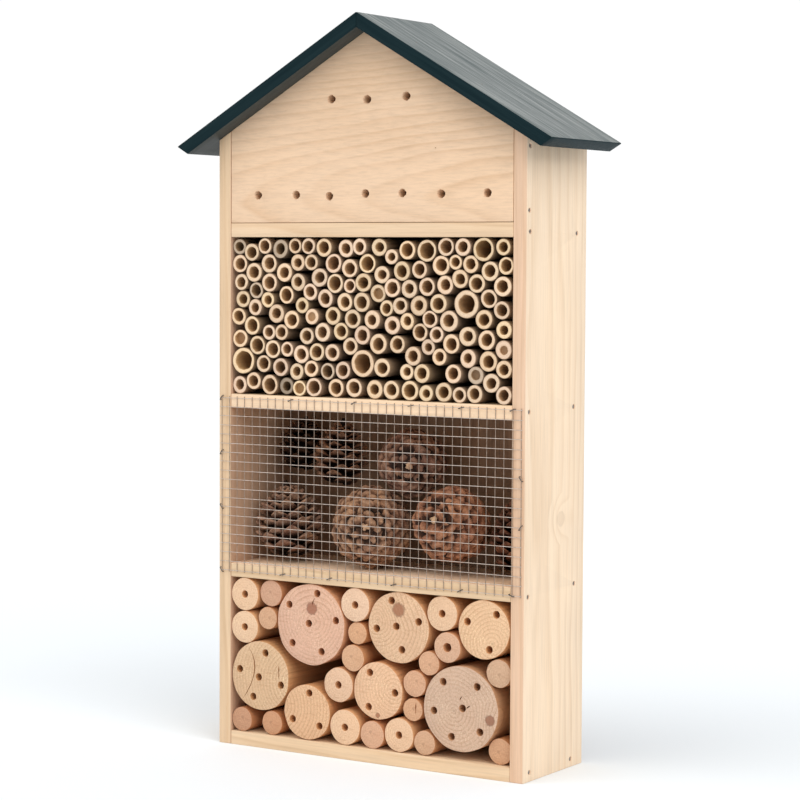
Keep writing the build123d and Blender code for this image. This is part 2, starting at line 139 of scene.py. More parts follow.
def rolled(centres, radius, step):
    """The outline of a disc rolled once round some points, anticlockwise."""
    count = len(centres)
    outward = []
    for i, centre in enumerate(centres):
        run = (centres[(i + 1) % count] - centre).normalized()
        outward.append(Vector((run.y, -run.x)))
    arcs = []
    for i, centre in enumerate(centres):
        start = math.atan2(outward[i - 1].y, outward[i - 1].x)
        turn = outward[i - 1].angle(outward[i])
        pieces = max(2, math.ceil(turn / math.radians(30)))
        arcs.append([
            centre + radius * Vector((math.cos(a), math.sin(a)))
            for a in (start + turn * k / pieces for k in range(pieces + 1))
        ])
    points = []
    for i, arc in enumerate(arcs):
        points += arc
        run = arcs[(i + 1) % count][0] - arc[-1]
        stops = int(run.length / step)
        points += [arc[-1] + run * k / (stops + 1) for k in range(1, stops + 1)]
    return points


def rounded(corners, radius, step=edge_step):
    """An outline with straight sides, anticlockwise, and each corner turned to a radius."""
    corners = [Vector(corner) for corner in corners]
    count = len(corners)
    centres = []
    for i, corner in enumerate(corners):
        before = (corner - corners[i - 1]).normalized()
        after = (corners[(i + 1) % count] - corner).normalized()
        inward = Vector((-before.y - after.y, before.x + after.x))
        centres.append(corner + inward * radius / (1 + before.dot(after)))
    return rolled(centres, radius, step)


def rectangle(low, high, radius=corner_round):
    return rounded([low, (high[0], low[1]), high, (low[0], high[1])], radius)


def ring_edges(bm, ring):
    return [bm.edges.get((ring[i - 1], ring[i])) or bm.edges.new((ring[i - 1], ring[i]))
            for i in range(len(ring))]


def skin_rings(bm, rings):
    """Quads between each ring of points and the next."""
    for one, two in zip(rings, rings[1:]):
        for i in range(len(one)):
            bm.faces.new((one[i - 1], one[i], two[i], two[i - 1]))


def slab(outline, depth, place, ease=saw_ease, pits=(), stations=1):
    """A sawn piece of wood: an outline given a thickness, eased round both faces.
    Each pit is a list of (outline, depth) rings, going in from the front face."""
    bm = bmesh.new()
    count = len(outline)
    inward = []
    for i in range(count):
        run = (outline[(i + 1) % count] - outline[i - 1]).normalized()
        inward.append(Vector((-run.y, run.x)))
    turn = [(ease * (1 - math.sin(a)), ease * (1 - math.cos(a))) for a in (0, math.pi / 4, math.pi / 2)]
    rows = turn + [(0, ease + (depth - 2 * ease) * k / stations) for k in range(1, stations)]
    rows += [(inset, depth - d) for inset, d in reversed(turn)]
    rings = [[bm.verts.new(place(*(p + n * inset), d)) for p, n in zip(outline, inward)]
             for inset, d in rows]
    skin_rings(bm, rings)
    front = ring_edges(bm, rings[0])
    rear = ring_edges(bm, rings[-1])
    for pit in pits:
        sunk = [[bm.verts.new(place(*p, d)) for p in points] for points, d in pit]
        skin_rings(bm, sunk)
        front += ring_edges(bm, sunk[0])
        if pit[-1][1] >= depth:
            rear += ring_edges(bm, sunk[-1])
        else:
            bm.faces.new(sunk[-1])
    way = (place(0, 0, depth) - place(0, 0, 0)).normalized()
    bmesh.ops.triangle_fill(bm, edges=front, use_beauty=True, normal=-way)
    bmesh.ops.triangle_fill(bm, edges=rear, use_beauty=True, normal=way)
    bmesh.ops.recalc_face_normals(bm, faces=bm.faces)
    return bm


def vector_attribute(mesh, name, values):
    attribute = mesh.attributes.new(name, "FLOAT_VECTOR", "POINT")
    attribute.data.foreach_set("vector", [number for value in values for number in value])


def finished(name, bm, finish, slot, *nodes, crease=35):
    """A made mesh, in its finish, in place of the plain nodes that it stands for."""
    mesh = bpy.data.meshes.new(name)
    bm.to_mesh(mesh)
    bm.free()
    mesh.materials.append(finish)
    mesh.shade_smooth()
    mesh.set_sharp_from_angle(angle=math.radians(crease))
    piece = bpy.data.objects.new(name, mesh)
    bpy.context.scene.collection.objects.link(piece)
    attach(piece, "root")
    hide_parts(*nodes)
    return piece


def grained(piece, along, pith, tint=(1, 1, 1), knot=(9, 9, 9), knot_size=1.0, knot_depth=0.8,
            taper=0.0):
    """Where each point lies in the tree that the piece was cut from: along the fibres,
    then across from the pith, which may run at a slant. Also its tint, and a knot's
    place and strength."""
    across = [axis for axis in (0, 1, 2) if axis != along]
    points = [v.co for v in piece.data.vertices]
    vector_attribute(piece.data, "grain", [
        (p[along] - pith[along], p[across[0]] - pith[across[0]] + taper * (p[along] - pith[along]),
         p[across[1]] - pith[across[1]])
        for p in points
    ])
    vector_attribute(piece.data, "knot", [(p - Vector(knot)) / knot_size for p in points])
    vector_attribute(piece.data, "tint", [tint] * len(points))
    vector_attribute(piece.data, "knot_depth", [(knot_depth, 0, 0)] * len(points))


def face_tints(piece, axis, start, end, first, edge, last):
    """A tint for each broad face of a board, and one for its edges."""
    for spot, vertex in zip(piece.data.attributes["tint"].data, piece.data.vertices):
        share = (vertex.co[axis] - start) / (end - start)
        spot.vector = first if share < 0.02 else last if share > 0.98 else edge


def put(tree, kind, inputs=None, **settings):
    """A shader node with its settings, its inputs linked or set."""
    made = tree.nodes.new(kind)
    for key, value in settings.items():
        setattr(made, key, value)
    for key, value in (inputs or {}).items():
        if isinstance(value, bpy.types.NodeSocket):
            tree.links.new(value, made.inputs[key])
        else:
            made.inputs[key].default_value = value
    return made


def stored(tree, name):
    return put(tree, "ShaderNodeAttribute", attribute_name=name).outputs["Vector"]


def times(tree, vector, factors):
    return put(tree, "ShaderNodeVectorMath", {0: vector, 1: factors}, operation="MULTIPLY").outputs[0]


def plus(tree, vector, other):
    return put(tree, "ShaderNodeVectorMath", {0: vector, 1: other}, operation="ADD").outputs[0]


def sums(tree, operation, first, second=0.0, clamp=False):
    return put(tree, "ShaderNodeMath", {0: first, 1: second}, operation=operation,
               use_clamp=clamp).outputs[0]


def cloud(tree, vector, scale=1.0, detail=3.0, rough=0.55):
    """Soft noise, from 0 to 1."""
    return put(tree, "ShaderNodeTexNoise", {
        "Vector": vector, "Scale": scale, "Detail": detail, "Roughness": rough,
    }).outputs["Fac"]


def between(tree, value, low, high, to_low=0.0, to_high=1.0):
    return put(tree, "ShaderNodeMapRange", {
        "Value": value, "From Min": low, "From Max": high, "To Min": to_low, "To Max": to_high,
    }).outputs["Result"]


def ramp(tree, value, stops):
    """A ramp through (position, colour or grey) stops."""
    made = put(tree, "ShaderNodeValToRGB", {"Fac": value})
    points = made.color_ramp.elements
    while len(points) < len(stops):
        points.new(1.0)
    for point, (position, colour) in zip(points, stops):
        point.position = position
        shade = (colour,) * 3 if isinstance(colour, (int, float)) else colour
        point.color = (*shade, 1)
    return made.outputs["Color"]


def mixed(tree, amount, first, second, how="MIX"):
    colours = [(*c, 1) if isinstance(c, tuple) else c for c in (first, second)]
    made = put(tree, "ShaderNodeMix", data_type="RGBA", blend_type=how)
    for socket, value in zip((made.inputs[0], made.inputs[6], made.inputs[7]), (amount, *colours)):
        if isinstance(value, bpy.types.NodeSocket):
            tree.links.new(value, socket)
        else:
            socket.default_value = value
    return made.outputs[2]


def new_finish(name, specular, metal=0.0):
    finish = bpy.data.materials.new(name)
    finish.use_nodes = True
    shader = finish.node_tree.nodes["Principled BSDF"]
    shader.inputs["Specular IOR Level"].default_value = specular
    shader.inputs["Metallic"].default_value = metal
    return finish, finish.node_tree, shader


def dress(tree, shader, colour, roughness, height, relief):
    """Link a colour, a roughness and a bump height, in metres, to the shader."""
    tree.links.new(colour, shader.inputs["Base Color"])
    tree.links.new(roughness, shader.inputs["Roughness"])
    bump = put(tree, "ShaderNodeBump", {"Height": height, "Distance": relief, "Strength": 1.0})
    tree.links.new(bump.outputs["Normal"], shader.inputs["Normal"])


def wood(name, pale, late, ring_gap, ring_depth, fibre_depth, end_grain=False,
         burr_tone=(0.30, 0.16, 0.08)):
    """Wood cut from a round tree: rings about a pith that wanders, fine fibres,
    short dark flecks, soft blotches and a knot. End grain adds rays and saw marks."""
    finish, tree, shader = new_finish(name, 0.25)
    grain = stored(tree, "grain")
    knot = put(tree, "ShaderNodeVectorMath", {0: stored(tree, "knot")},
               operation="LENGTH").outputs["Value"]
    drift = put(tree, "ShaderNodeTexNoise", {
        "Vector": times(tree, grain, (4.0, 24.0, 24.0)), "Scale": 1.0, "Detail": 2.0,
    }).outputs["Color"]
    swing = 2.2 * ring_gap if end_grain else 3.0 * ring_gap
    bent = plus(tree, grain, times(tree, plus(tree, drift, (-0.5, -0.5, -0.5)), (0, swing, swing)))
    radius = put(tree, "ShaderNodeVectorMath", {0: times(tree, bent, (0, 1, 1))},
                 operation="LENGTH").outputs["Value"]
    near_knot = between(tree, knot, 1.0, 3.5, 1.0, 0.0)
    radius = sums(tree, "ADD", radius, sums(tree, "MULTIPLY", near_knot, 1.4 * ring_gap))
    year = sums(tree, "FRACT", sums(tree, "DIVIDE", radius, ring_gap))
    ring = ramp(tree, year, [(0.0, 0.0), (0.5, 0.22), (0.84, 1.0), (0.95, 0.25), (1.0, 0.0)])
    strength = between(tree, cloud(tree, times(tree, grain, (7.0, 40.0, 40.0))), 0.3, 0.7, 0.25, 1.0)
    rings = sums(tree, "MULTIPLY", sums(tree, "MULTIPLY", ring, strength), ring_depth)
    colour = mixed(tree, rings, pale, late)
    fibre = cloud(tree, times(tree, grain, (22.0, 800.0, 800.0)), detail=4.0)
    colour = mixed(tree, 1.0, colour, ramp(tree, fibre, [
        (0.3, 1 - fibre_depth), (0.55, 1.0), (0.75, 1 + 0.3 * fibre_depth)]), "MULTIPLY")
    fleck = cloud(tree, times(tree, grain, (110.0, 2100.0, 2100.0)), detail=1.0)
    colour = mixed(tree, sums(tree, "MULTIPLY", between(tree, fleck, 0.66, 0.76), 0.22), colour, late)
    blotch = cloud(tree, times(tree, grain, (5.0, 16.0, 16.0)), detail=2.0)
    colour = mixed(tree, 1.0, colour, ramp(tree, blotch, [
        (0.3, (0.93, 0.90, 0.86)), (0.5, (1.0, 0.99, 0.98)), (0.7, (1.04, 1.02, 0.99))]), "MULTIPLY")
    height = sums(tree, "ADD", sums(tree, "MULTIPLY", fibre, 0.6), sums(tree, "MULTIPLY", rings, -0.3))
    if end_grain:
        parts = put(tree, "ShaderNodeSeparateXYZ", {"Vector": grain})
        bearing = sums(tree, "ARCTAN2", parts.outputs["Z"], parts.outputs["Y"])
        fan = put(tree, "ShaderNodeCombineXYZ", {
            "X": sums(tree, "MULTIPLY", bearing, 14.0), "Y": sums(tree, "MULTIPLY", radius, 60.0)})
        ray = cloud(tree, fan.outputs["Vector"], detail=3.0)
        colour = mixed(tree, between(tree, ray, 0.58, 0.75, 0.0, 0.35), colour, late)
        rub = cloud(tree, times(tree, grain, (0.0, 110.0, 900.0)), detail=3.0)
        pore = cloud(tree, times(tree, grain, (0.0, 900.0, 900.0)), detail=2.0)
        facing = put(tree, "ShaderNodeSeparateXYZ", {
            "Vector": put(tree, "ShaderNodeNewGeometry").outputs["Normal"]}).outputs["Y"]
        cut = between(tree, sums(tree, "ABSOLUTE", facing), 0.6, 0.8)
        marks = sums(tree, "ADD", sums(tree, "MULTIPLY", rub, 0.9), sums(tree, "MULTIPLY", pore, 0.7))
        height = sums(tree, "ADD", height, sums(tree, "MULTIPLY", marks, cut))
        dots = sums(tree, "MULTIPLY", between(tree, pore, 0.58, 0.70, 0.0, 0.34), cut)
        colour = mixed(tree, dots, colour, late)
        stroke = sums(tree, "MULTIPLY", between(tree, rub, 0.56, 0.70, 0.0, 0.30), cut)
        colour = mixed(tree, stroke, colour, late)
        pith = between(tree, radius, 0.5 * mm, 1.4 * mm, 0.30, 0.0)
        colour = mixed(tree, pith, colour, tuple(0.5 * c for c in late))
        # The sides and the bore walls take a browner, darker tone: partly the bark-like outside of the wood,
        # partly painted shade in the bores and in the gaps between the pieces.
        bark_tone_and_shade = mixed(tree, cut, (0.86, 0.68, 0.50), (1.0, 1.0, 1.0))
        colour = mixed(tree, 1.0, colour, bark_tone_and_shade, "MULTIPLY")
        patches = cloud(tree, times(tree, grain, (0.0, 45.0, 45.0)), detail=2.0)
        speckle = between(tree, patches, 0.35, 0.62)
        torn = sums(tree, "MULTIPLY", between(tree, pore, 0.46, 0.36), 0.40)
        fuzzy = sums(tree, "MULTIPLY", torn, speckle)
        colour = mixed(tree, sums(tree, "MULTIPLY", fuzzy, cut), colour, (0.93, 0.74, 0.50))
    edge = sums(tree, "ADD", knot, sums(tree, "MULTIPLY", fibre, 0.5))
    depth = put(tree, "ShaderNodeSeparateXYZ", {"Vector": stored(tree, "knot_depth")}).outputs["X"]
    inside = between(tree, edge, 1.05, 1.35, 1.0, 0.0)
    colour = mixed(tree, sums(tree, "MULTIPLY", inside, depth), colour, burr_tone)
    rim = between(tree, sums(tree, "ABSOLUTE", sums(tree, "SUBTRACT", edge, 1.22)), 0.0, 0.22, 0.5, 0.0)
    colour = mixed(tree, sums(tree, "MULTIPLY", rim, depth), colour, tuple(0.4 * c for c in burr_tone))
    colour = mixed(tree, 1.0, colour, stored(tree, "tint"), "MULTIPLY")
    roughness = between(tree, fibre, 0.3, 0.7, 0.52, 0.72)
    dress(tree, shader, colour, roughness, height, 0.12 * mm)
    return finish


pine = wood("pine", (0.80, 0.60, 0.405), (0.56, 0.34, 0.17), 5.2 * mm, 0.42, 0.10)


def sill(name, node, pith_above, tint, top_tint):
    """A board across the hotel, from the front edge back to the back panel."""
    low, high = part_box(node)

    def place(a, b, d):
        return Vector((a, b, low.z + d))

    bm = slab(rectangle((low.x, low.y), (high.x, high.y)), high.z - low.z, place)
    piece = finished(name, bm, pine, "pine_board", node)
    grained(piece, 0, (0.1 * pith_above, 0.03, low.z + pith_above), tint)
    face_tints(piece, 2, low.z, high.z, tint, tint, top_tint)


sill("base_plank", "base_board", -0.031, (1.0, 0.99, 0.97), (1.0, 0.99, 0.97))

# ---------------------------------------------------------------- three shelves
# The same board as the base, nailed through from the sides, above each bay.
# The lower two have the wire mesh stapled over their front edges.
# Painted light: the lower shelf's top, the floor of the cone bay, is tinted much lighter than its front, and
# the middle shelf's front, ends and underside are tinted lighter than its top.
sill("lower_shelf_plank", "lower_shelf", 0.043, (1.0, 0.98, 0.94), (1.34, 1.34, 1.42))
sill("middle_shelf_plank", "middle_shelf", -0.052, (1.20, 1.20, 1.24), (1.0, 0.98, 0.95))
sill("upper_shelf_plank", "upper_shelf", 0.036, (1.05, 1.04, 1.04), (1.0, 0.98, 0.95))

# ---------------------------------------------------------------- two sides
# Upright boards with their tops bevelled to lie under the roof. Every nail
# through them is punched a little below the surface, in a pit of its own.
punch_radius = 1.75 * mm
punch_depth = 0.7 * mm
roof_slope = math.radians(30)


def loose_parts(node):
    """The points of each separate solid in a node."""
    bm = bmesh.new()
    bm.from_mesh(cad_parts[node].data)
    bmesh.ops.remove_doubles(bm, verts=bm.verts, dist=0.01 * mm)
    left = dict.fromkeys(bm.verts)
    parts = []
    while left:
        found = [next(iter(left))]
        del left[found[0]]
        for vertex in found:
            for edge in vertex.link_edges:
                other = edge.other_vert(vertex)
                if other in left:
                    del left[other]
                    found.append(other)
        parts.append([vertex.co.copy() for vertex in found])
    bm.free()
    return parts


def limits(points):
    """The lowest and the highest corner of some points."""
    low = Vector([min(p[axis] for p in points) for axis in (0, 1, 2)])
    high = Vector([max(p[axis] for p in points) for axis in (0, 1, 2)])
    return low, high


def ragged(centre, radius, rough, seed, count=28, torn=0.0):
    """A round outline that isn't quite true, torn outwards along the grain."""
    points = []
    for k in range(count):
        a = 2 * math.pi * k / count
        way = Vector((math.cos(a), math.sin(a)))
        bump = noise.noise(Vector((2.3 * way.x, 2.3 * way.y, seed)))
        tear = torn * abs(way.x) ** 14 * (0.6 + 0.4 * math.sin(9 * seed + a))
        points.append(Vector(centre) + way * (radius * (1 + rough * bump) + tear))
    return points


nails = [limits(points) for points in loose_parts("frame_nails")]


def side(name, node, outward, pith, tint, edge_tint, inner_painted_shade):
    low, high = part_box(node)
    outer = high.x if outward > 0 else low.x
    thick = high.x - low.x
    bevel = thick * math.tan(roof_slope)

    def place(a, b, d):
        near_top = max(0.0, min(1.0, (b - high.z + bevel + 4 * mm) / (2 * mm)))
        drop = near_top * (thick - d) * math.tan(roof_slope)
        return Vector((outer - outward * d, outward * a, b - drop))

    ends = sorted((outward * low.y, outward * high.y))
    outline = rectangle((ends[0], low.z), (ends[1], high.z))
    pits = []
    for number, (start, end) in enumerate(nails):
        if (start.x + end.x) * outward > 0:
            spot = (outward * (start.y + end.y) / 2, (start.z + end.z) / 2)
            pits.append([
                (ragged(spot, punch_radius, 0.14, number, torn=0.5 * mm), 0.0),
                (ragged(spot, 0.9 * punch_radius, 0.06, number), 0.25 * mm),
                (ragged(spot, 0.8 * punch_radius, 0.0, number), punch_depth),
            ])
    bm = slab(outline, thick, place, pits=pits)
    piece = finished(name, bm, pine, "pine_board", node)
    knot = (outer, 0.015, 0.168) if outward > 0 else (9, 9, 9)
    grained(piece, 2, pith, tint, knot, 5 * mm, 0.16)
    face_tints(piece, 0, outer, outer - outward * thick, tint, edge_tint, inner_painted_shade)


# Painted shade: the inner faces of both sides, which stand inside the bays, are tinted darker than the outer
# faces.
side("left_side_plank", "left_side", -1, (-0.165, 0.02, 0.05), (1.0, 0.98, 0.95), (0.955, 0.925, 0.89),
     (0.72, 0.61, 0.60))
side("right_side_plank", "right_side", 1, (0.172, -0.012, 0.02), (1.07, 1.14, 1.26), (1.013, 0.934, 0.96),
     (0.95, 0.88, 0.82))

# ---------------------------------------------------------------- gable front
# One wide pine board under the ridge, with ten entry holes bored right
# through it. The drill has torn the fibres out along the grain at each rim.
gable_bore = 2.9 * mm
gable_low, gable_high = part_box("gable_front")


def bores(node, radius, reach):
    """Where holes of a radius run along Y: the middles of their rims at a depth."""
    low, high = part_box(node)
    rims = []
    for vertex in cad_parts[node].data.vertices:
        p = vertex.co
        if abs(p.y - low.y - reach) < 0.05 * mm:
            rim = next((r for r in rims if (r[0] - p).length < 2.1 * radius), None)
            if rim:
                rim.append(p.copy())
            else:
                rims.append([p.copy()])
    middles = []
    for rim in rims:
        start, end = limits(rim)
        spread = (end.x - start.x, end.z - start.z)
        if all(abs(size - 2 * radius) < 0.2 * radius for size in spread):
            middles.append(((start.x + end.x) / 2, (start.z + end.z) / 2))
    return sorted(middles)


def front_place(a, b, d):
    return Vector((a, gable_low.y + d, b))


joint_gap = 0.3 * mm
half = gable_high.x - joint_gap
gable_foot = gable_low.z + joint_gap
eave_z = gable_high.z - half * math.tan(roof_slope)
gable_outline = rounded([
    (-half, gable_foot), (half, gable_foot), (half, eave_z), (0, gable_high.z), (-half, eave_z),
], corner_round)
gable_depth = gable_high.y - gable_low.y
gable_pits = []
for number, spot in enumerate(bores("gable_front", gable_bore, 0.0)):
    rings = [(ragged(spot, 1.03 * gable_bore, 0.18, number, torn=1.5 * mm), 0.0),
             (ragged(spot, gable_bore, 0.08, number, torn=0.2 * mm), 0.5 * mm)]
    rings += [(ragged(spot, gable_bore, 0.05, number + d), d * mm) for d in (2, 5, 8)]
    rings.append((ragged(spot, 1.05 * gable_bore, 0.15, number, torn=0.5 * mm), gable_depth))
    gable_pits.append(rings)
gable = finished("gable_plank", slab(gable_outline, gable_depth, front_place, pits=gable_pits),
                 pine, "pine_board", "gable_front")
grained(gable, 0, (0.05, 0.004, 0.376), (1.04, 0.995, 1.01), (0.0532, gable_low.y, 0.4105),
        0.4 * mm, taper=0.11)

# ---------------------------------------------------------------- back panel
# A thin sheet of plywood let in between the sides, browner than the pine and
# bradded to the shelves. Its colour is darkened to about half as painted shade, so that
# the backs of the bays read dark. It has a shallow pocket behind the hanger's hole.
back_low, back_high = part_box("back_panel")
hanger_low, hanger_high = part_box("hanger_plate")
plate_round = 7.5 * mm
hanger_hole_z = hanger_high.z - plate_round
pocket_radius = 6.5 * mm
pocket_depth = 3.5 * mm

# Painted shade: this brown is darkened to about half of the plywood's own colour.
plywood = wood("plywood", (0.285, 0.168, 0.100), (0.16, 0.085, 0.046), 7.5 * mm, 0.55, 0.16)


def back_place(a, b, d):
    return Vector((-a, back_high.y - d, b))


back_half = back_high.x
back_eave_z = back_high.z - back_half * math.tan(roof_slope)
back_outline = rounded([
    (-back_half, back_low.z), (back_half, back_low.z), (back_half, back_eave_z),
    (0, back_high.z), (-back_half, back_eave_z),
], corner_round)
brad_spots = [limits(points) for points in loose_parts("brads")]
back_pits = [[
    (ragged((0, hanger_hole_z), pocket_radius, 0.03, 5, 40, 0.5 * mm), 0.0),
    (ragged((0, hanger_hole_z), pocket_radius, 0.02, 5, 40), 0.4 * mm),
    (ragged((0, hanger_hole_z), 0.97 * pocket_radius, 0.02, 6, 40), pocket_depth),
]]
for number, (start, end) in enumerate(brad_spots):
    if end.y > back_high.y - 0.5 * mm:
        spot = (-(start.x + end.x) / 2, (start.z + end.z) / 2)
        back_pits.append([(ragged(spot, 1.3 * mm, 0.15, number, 16), 0.0),
                          (ragged(spot, 1.0 * mm, 0.0, number, 16), 0.5 * mm)])
back_bm = slab(back_outline, back_high.y - back_low.y, back_place, pits=back_pits)
plywood_sheet = finished("plywood_back", back_bm, plywood, "plywood", "back_panel")
grained(plywood_sheet, 2, (0.06, back_low.y - 0.02, 0.2))

# ---------------------------------------------------------------- two roof boards
# Dark green boards, painted thinly enough that the sawn streaks show on top.
# Their tops take a lighter copy of the paint, streaked pale grey: partly those sawn
# streaks, partly painted sheen. They meet at a plumb cut on the ridge, and their front ends are nearly
# black.
roof_low, roof_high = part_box("roof_right")
roof_top = roof_high.z
roof_reach = roof_high.x
board_plumb = 9 * mm / math.cos(roof_slope)
undercut = 9 * mm / math.sin(2 * roof_slope)


def painted(name, base, streak, streak_amount, speck_amount, specular):
    """Brushed paint: streaks down the slope, pale specks where the wood shows, dull patches. On the roof's
    top the pale streaks are also painted sheen.
    """
    finish, tree, shader = new_finish(name, specular)
    grain = stored(tree, "grain")
    fine = cloud(tree, times(tree, grain, (14.0, 520.0, 520.0)), detail=5.0, rough=0.7)
    broad = cloud(tree, times(tree, grain, (3.0, 60.0, 60.0)), detail=3.0)
    wear = sums(tree, "MULTIPLY", between(tree, fine, 0.40, 0.62),
                between(tree, broad, 0.3, 0.7, 0.6, 1.0))
    colour = mixed(tree, sums(tree, "MULTIPLY", wear, streak_amount), base, streak)
    speck = cloud(tree, times(tree, grain, (500.0, 900.0, 900.0)), detail=1.0)
    colour = mixed(tree, between(tree, speck, 0.72, 0.78, 0.0, speck_amount), colour, (0.42, 0.40, 0.33))
    colour = mixed(tree, 1.0, colour, stored(tree, "tint"), "MULTIPLY")
    roughness = between(tree, fine, 0.3, 0.7, 0.38, 0.62)
    dress(tree, shader, colour, roughness, sums(tree, "MULTIPLY", fine, 1.0), 0.10 * mm)
    return finish


# The top paint is a lighter copy of the roof's paint with pale grey streaks mixed in strongly: partly sawn
# streaks showing through, partly painted sheen.
roof_top_paint_and_sheen = painted("roof_top_paint_and_sheen", (0.036, 0.062, 0.064), (0.37, 0.385, 0.375), 0.95, 0.10, 0.5)
roof_edge_paint = painted("roof_edge_paint", (0.004, 0.016, 0.020), (0.012, 0.030, 0.034),
                          0.6, 0.0, 0.08)
roof_under_paint = painted("roof_under_paint", (0.034, 0.040, 0.038), (0.085, 0.098, 0.096),
                           0.5, 0.05, 0.2)


def roof_board(name, node, hand):
    low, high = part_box(node)

    def place(a, b, d):
        return Vector((hand * a, low.y + d, b))

    def top_z(x):
        return roof_top - x * math.tan(roof_slope)

    corners = [
        (0.0, roof_top - board_plumb),
        (roof_reach - undercut * math.cos(roof_slope),
         top_z(roof_reach) - undercut * math.sin(roof_slope)),
        (roof_reach, top_z(roof_reach)),
        (0.0, roof_top),
    ]
    bm = slab(rounded(corners, 0.5 * mm, 6 * mm), high.y - low.y, place, 0.6 * mm, stations=14)
    piece = finished(name, bm, roof_top_paint_and_sheen, "painted_roof", node)
    piece.data.materials.append(roof_edge_paint)
    piece.data.materials.append(roof_under_paint)
    # The top keeps the lighter copy with its painted sheen; the ends and eave cuts take the dark edge paint,
    # and the underside takes its own.
    for face in piece.data.polygons:
        if face.normal.z < -0.55 and hand * face.normal.x < 0:
            face.material_index = 2
        elif abs(face.normal.y) > 0.5 or face.normal.z < 0.55:
            face.material_index = 1
    slope = Matrix.Rotation(-hand * roof_slope, 3, "Y")
    turned = [slope @ v.co for v in piece.data.vertices]
    vector_attribute(piece.data, "grain", [(p.x + 0.3 * hand, p.y, p.z) for p in turned])
    vector_attribute(piece.data, "tint", [(1, 1, 1)] * len(turned))


roof_board("roof_board_left", "roof_left", -1)
roof_board("roof_board_right", "roof_right", 1)

# ---------------------------------------------------------------- nails and brads
# Dull steel nails through the sides, and finer brads through the roof and the
# back. Each head is a shallow dome, and cloudy patches dull its metal.
head_rise = 0.12 * mm


def metal(name, base, dull, shine, low_rough, high_rough):
    """Drawn or plated metal with cloudy dulling and fine scratches."""
    finish, tree, shader = new_finish(name, 0.5, shine)
    place = put(tree, "ShaderNodeTexCoord").outputs["Object"]
    patch = cloud(tree, place, 420.0, 3.0)
    scratch = cloud(tree, times(tree, place, (2600.0, 700.0, 2600.0)), detail=2.0)
    colour = mixed(tree, between(tree, patch, 0.35, 0.7), base, dull)
    roughness = between(tree, patch, 0.3, 0.7, low_rough, high_rough)
    dress(tree, shader, colour, roughness, scratch, 0.02 * mm)
    return finish


nail_steel = metal("nail_steel", (0.30, 0.27, 0.25), (0.13, 0.11, 0.10), 0.8, 0.35, 0.6)


def driven(bm, top, way, radius, shank_radius, length):
    """A domed head at a point, and the shank below it, driven along a direction."""
    side_way = way.orthogonal().normalized()
    other_way = way.cross(side_way)
    profile = [(0.55 * radius, -head_rise), (0.9 * radius, -0.4 * head_rise), (radius, 0.15 * mm),
               (radius, 0.5 * mm), (shank_radius, 0.6 * mm), (shank_radius, length - 1.2 * mm),
               (0.15 * shank_radius, length)]
    rings = []
    for r, depth in profile:
        turns = (2 * math.pi * k / 16 for k in range(16))
        spokes = [math.cos(a) * side_way + math.sin(a) * other_way for a in turns]
        rings.append([bm.verts.new(top + way * depth + r * spoke) for spoke in spokes])
    skin_rings(bm, rings)
    bm.faces.new(rings[0])
    bm.faces.new(rings[-1])


nail_bm = bmesh.new()
for start, end in nails:
    hand = 1 if start.x + end.x > 0 else -1
    face = max(start.x, end.x, key=abs)
    top = Vector((face - hand * 0.55 * mm, (start.y + end.y) / 2, (start.z + end.z) / 2))
    driven(nail_bm, top, Vector((-hand, 0, 0)), 1.35 * mm, 0.8 * mm, end.x - start.x - 0.8 * mm)
bmesh.ops.recalc_face_normals(nail_bm, faces=nail_bm.faces)
finished("side_nails", nail_bm, nail_steel, "nail_steel", "frame_nails")

brad_bm = bmesh.new()
for start, end in brad_spots:
    if end.y > back_high.y - 0.5 * mm:
        top = Vector(((start.x + end.x) / 2, end.y - 0.3 * mm, (start.z + end.z) / 2))
        driven(brad_bm, top, Vector((0, -1, 0)), 0.88 * mm, 0.55 * mm, end.y - start.y - 0.5 * mm)
    else:
        hand = 1 if start.x + end.x > 0 else -1
        way = Vector((-hand * math.sin(roof_slope), 0, -math.cos(roof_slope)))
        length = (end.z - start.z) / math.cos(roof_slope) - 0.8 * mm
        top = Vector((end.x if hand > 0 else start.x, (start.y + end.y) / 2, 0))
        top.x -= hand * 0.9 * mm * math.cos(roof_slope)
        top.z = roof_top - abs(top.x) * math.tan(roof_slope)
        driven(brad_bm, top, way, 0.88 * mm, 0.55 * mm, length)
bmesh.ops.recalc_face_normals(brad_bm, faces=brad_bm.faces)
finished("roof_and_back_brads", brad_bm, nail_steel, "nail_steel", "brads")

# ---------------------------------------------------------------- hanger plate and screws
# A stamped three-cornered zinc plate on the back, with one hole to hang the
# hotel by, held by two cross-head screws into the upper shelf.
zinc = metal("zinc", (0.62, 0.63, 0.64), (0.40, 0.41, 0.43), 0.95, 0.28, 0.5)
hook_radius = 3.5 * mm
screws = [limits(points) for points in loose_parts("hanger_screws")]
screw_spots = [((start.x + end.x) / 2, (start.z + end.z) / 2) for start, end in screws]


def plate_place(a, b, d):
    return Vector((-a, hanger_high.y - d, b))


plate_centres = [Vector((-abs(screw_spots[0][0]), screw_spots[0][1])),
                 Vector((abs(screw_spots[0][0]), screw_spots[0][1])), Vector((0, hanger_hole_z))]
plate_depth = hanger_high.y - hanger_low.y
hook_hole = [(ragged((0, hanger_hole_z), hook_radius + r * mm, 0, 0, 40), d)
             for r, d in ((0.25, 0.0), (0.0, 0.3 * mm), (0.0, plate_depth - 0.2 * mm), (0.15, plate_depth))]
finished("hanger", slab(rolled(plate_centres, plate_round, 4 * mm), plate_depth, plate_place, 0.3 * mm,
                        pits=[hook_hole]), zinc, "zinc_plate", "hanger_plate")

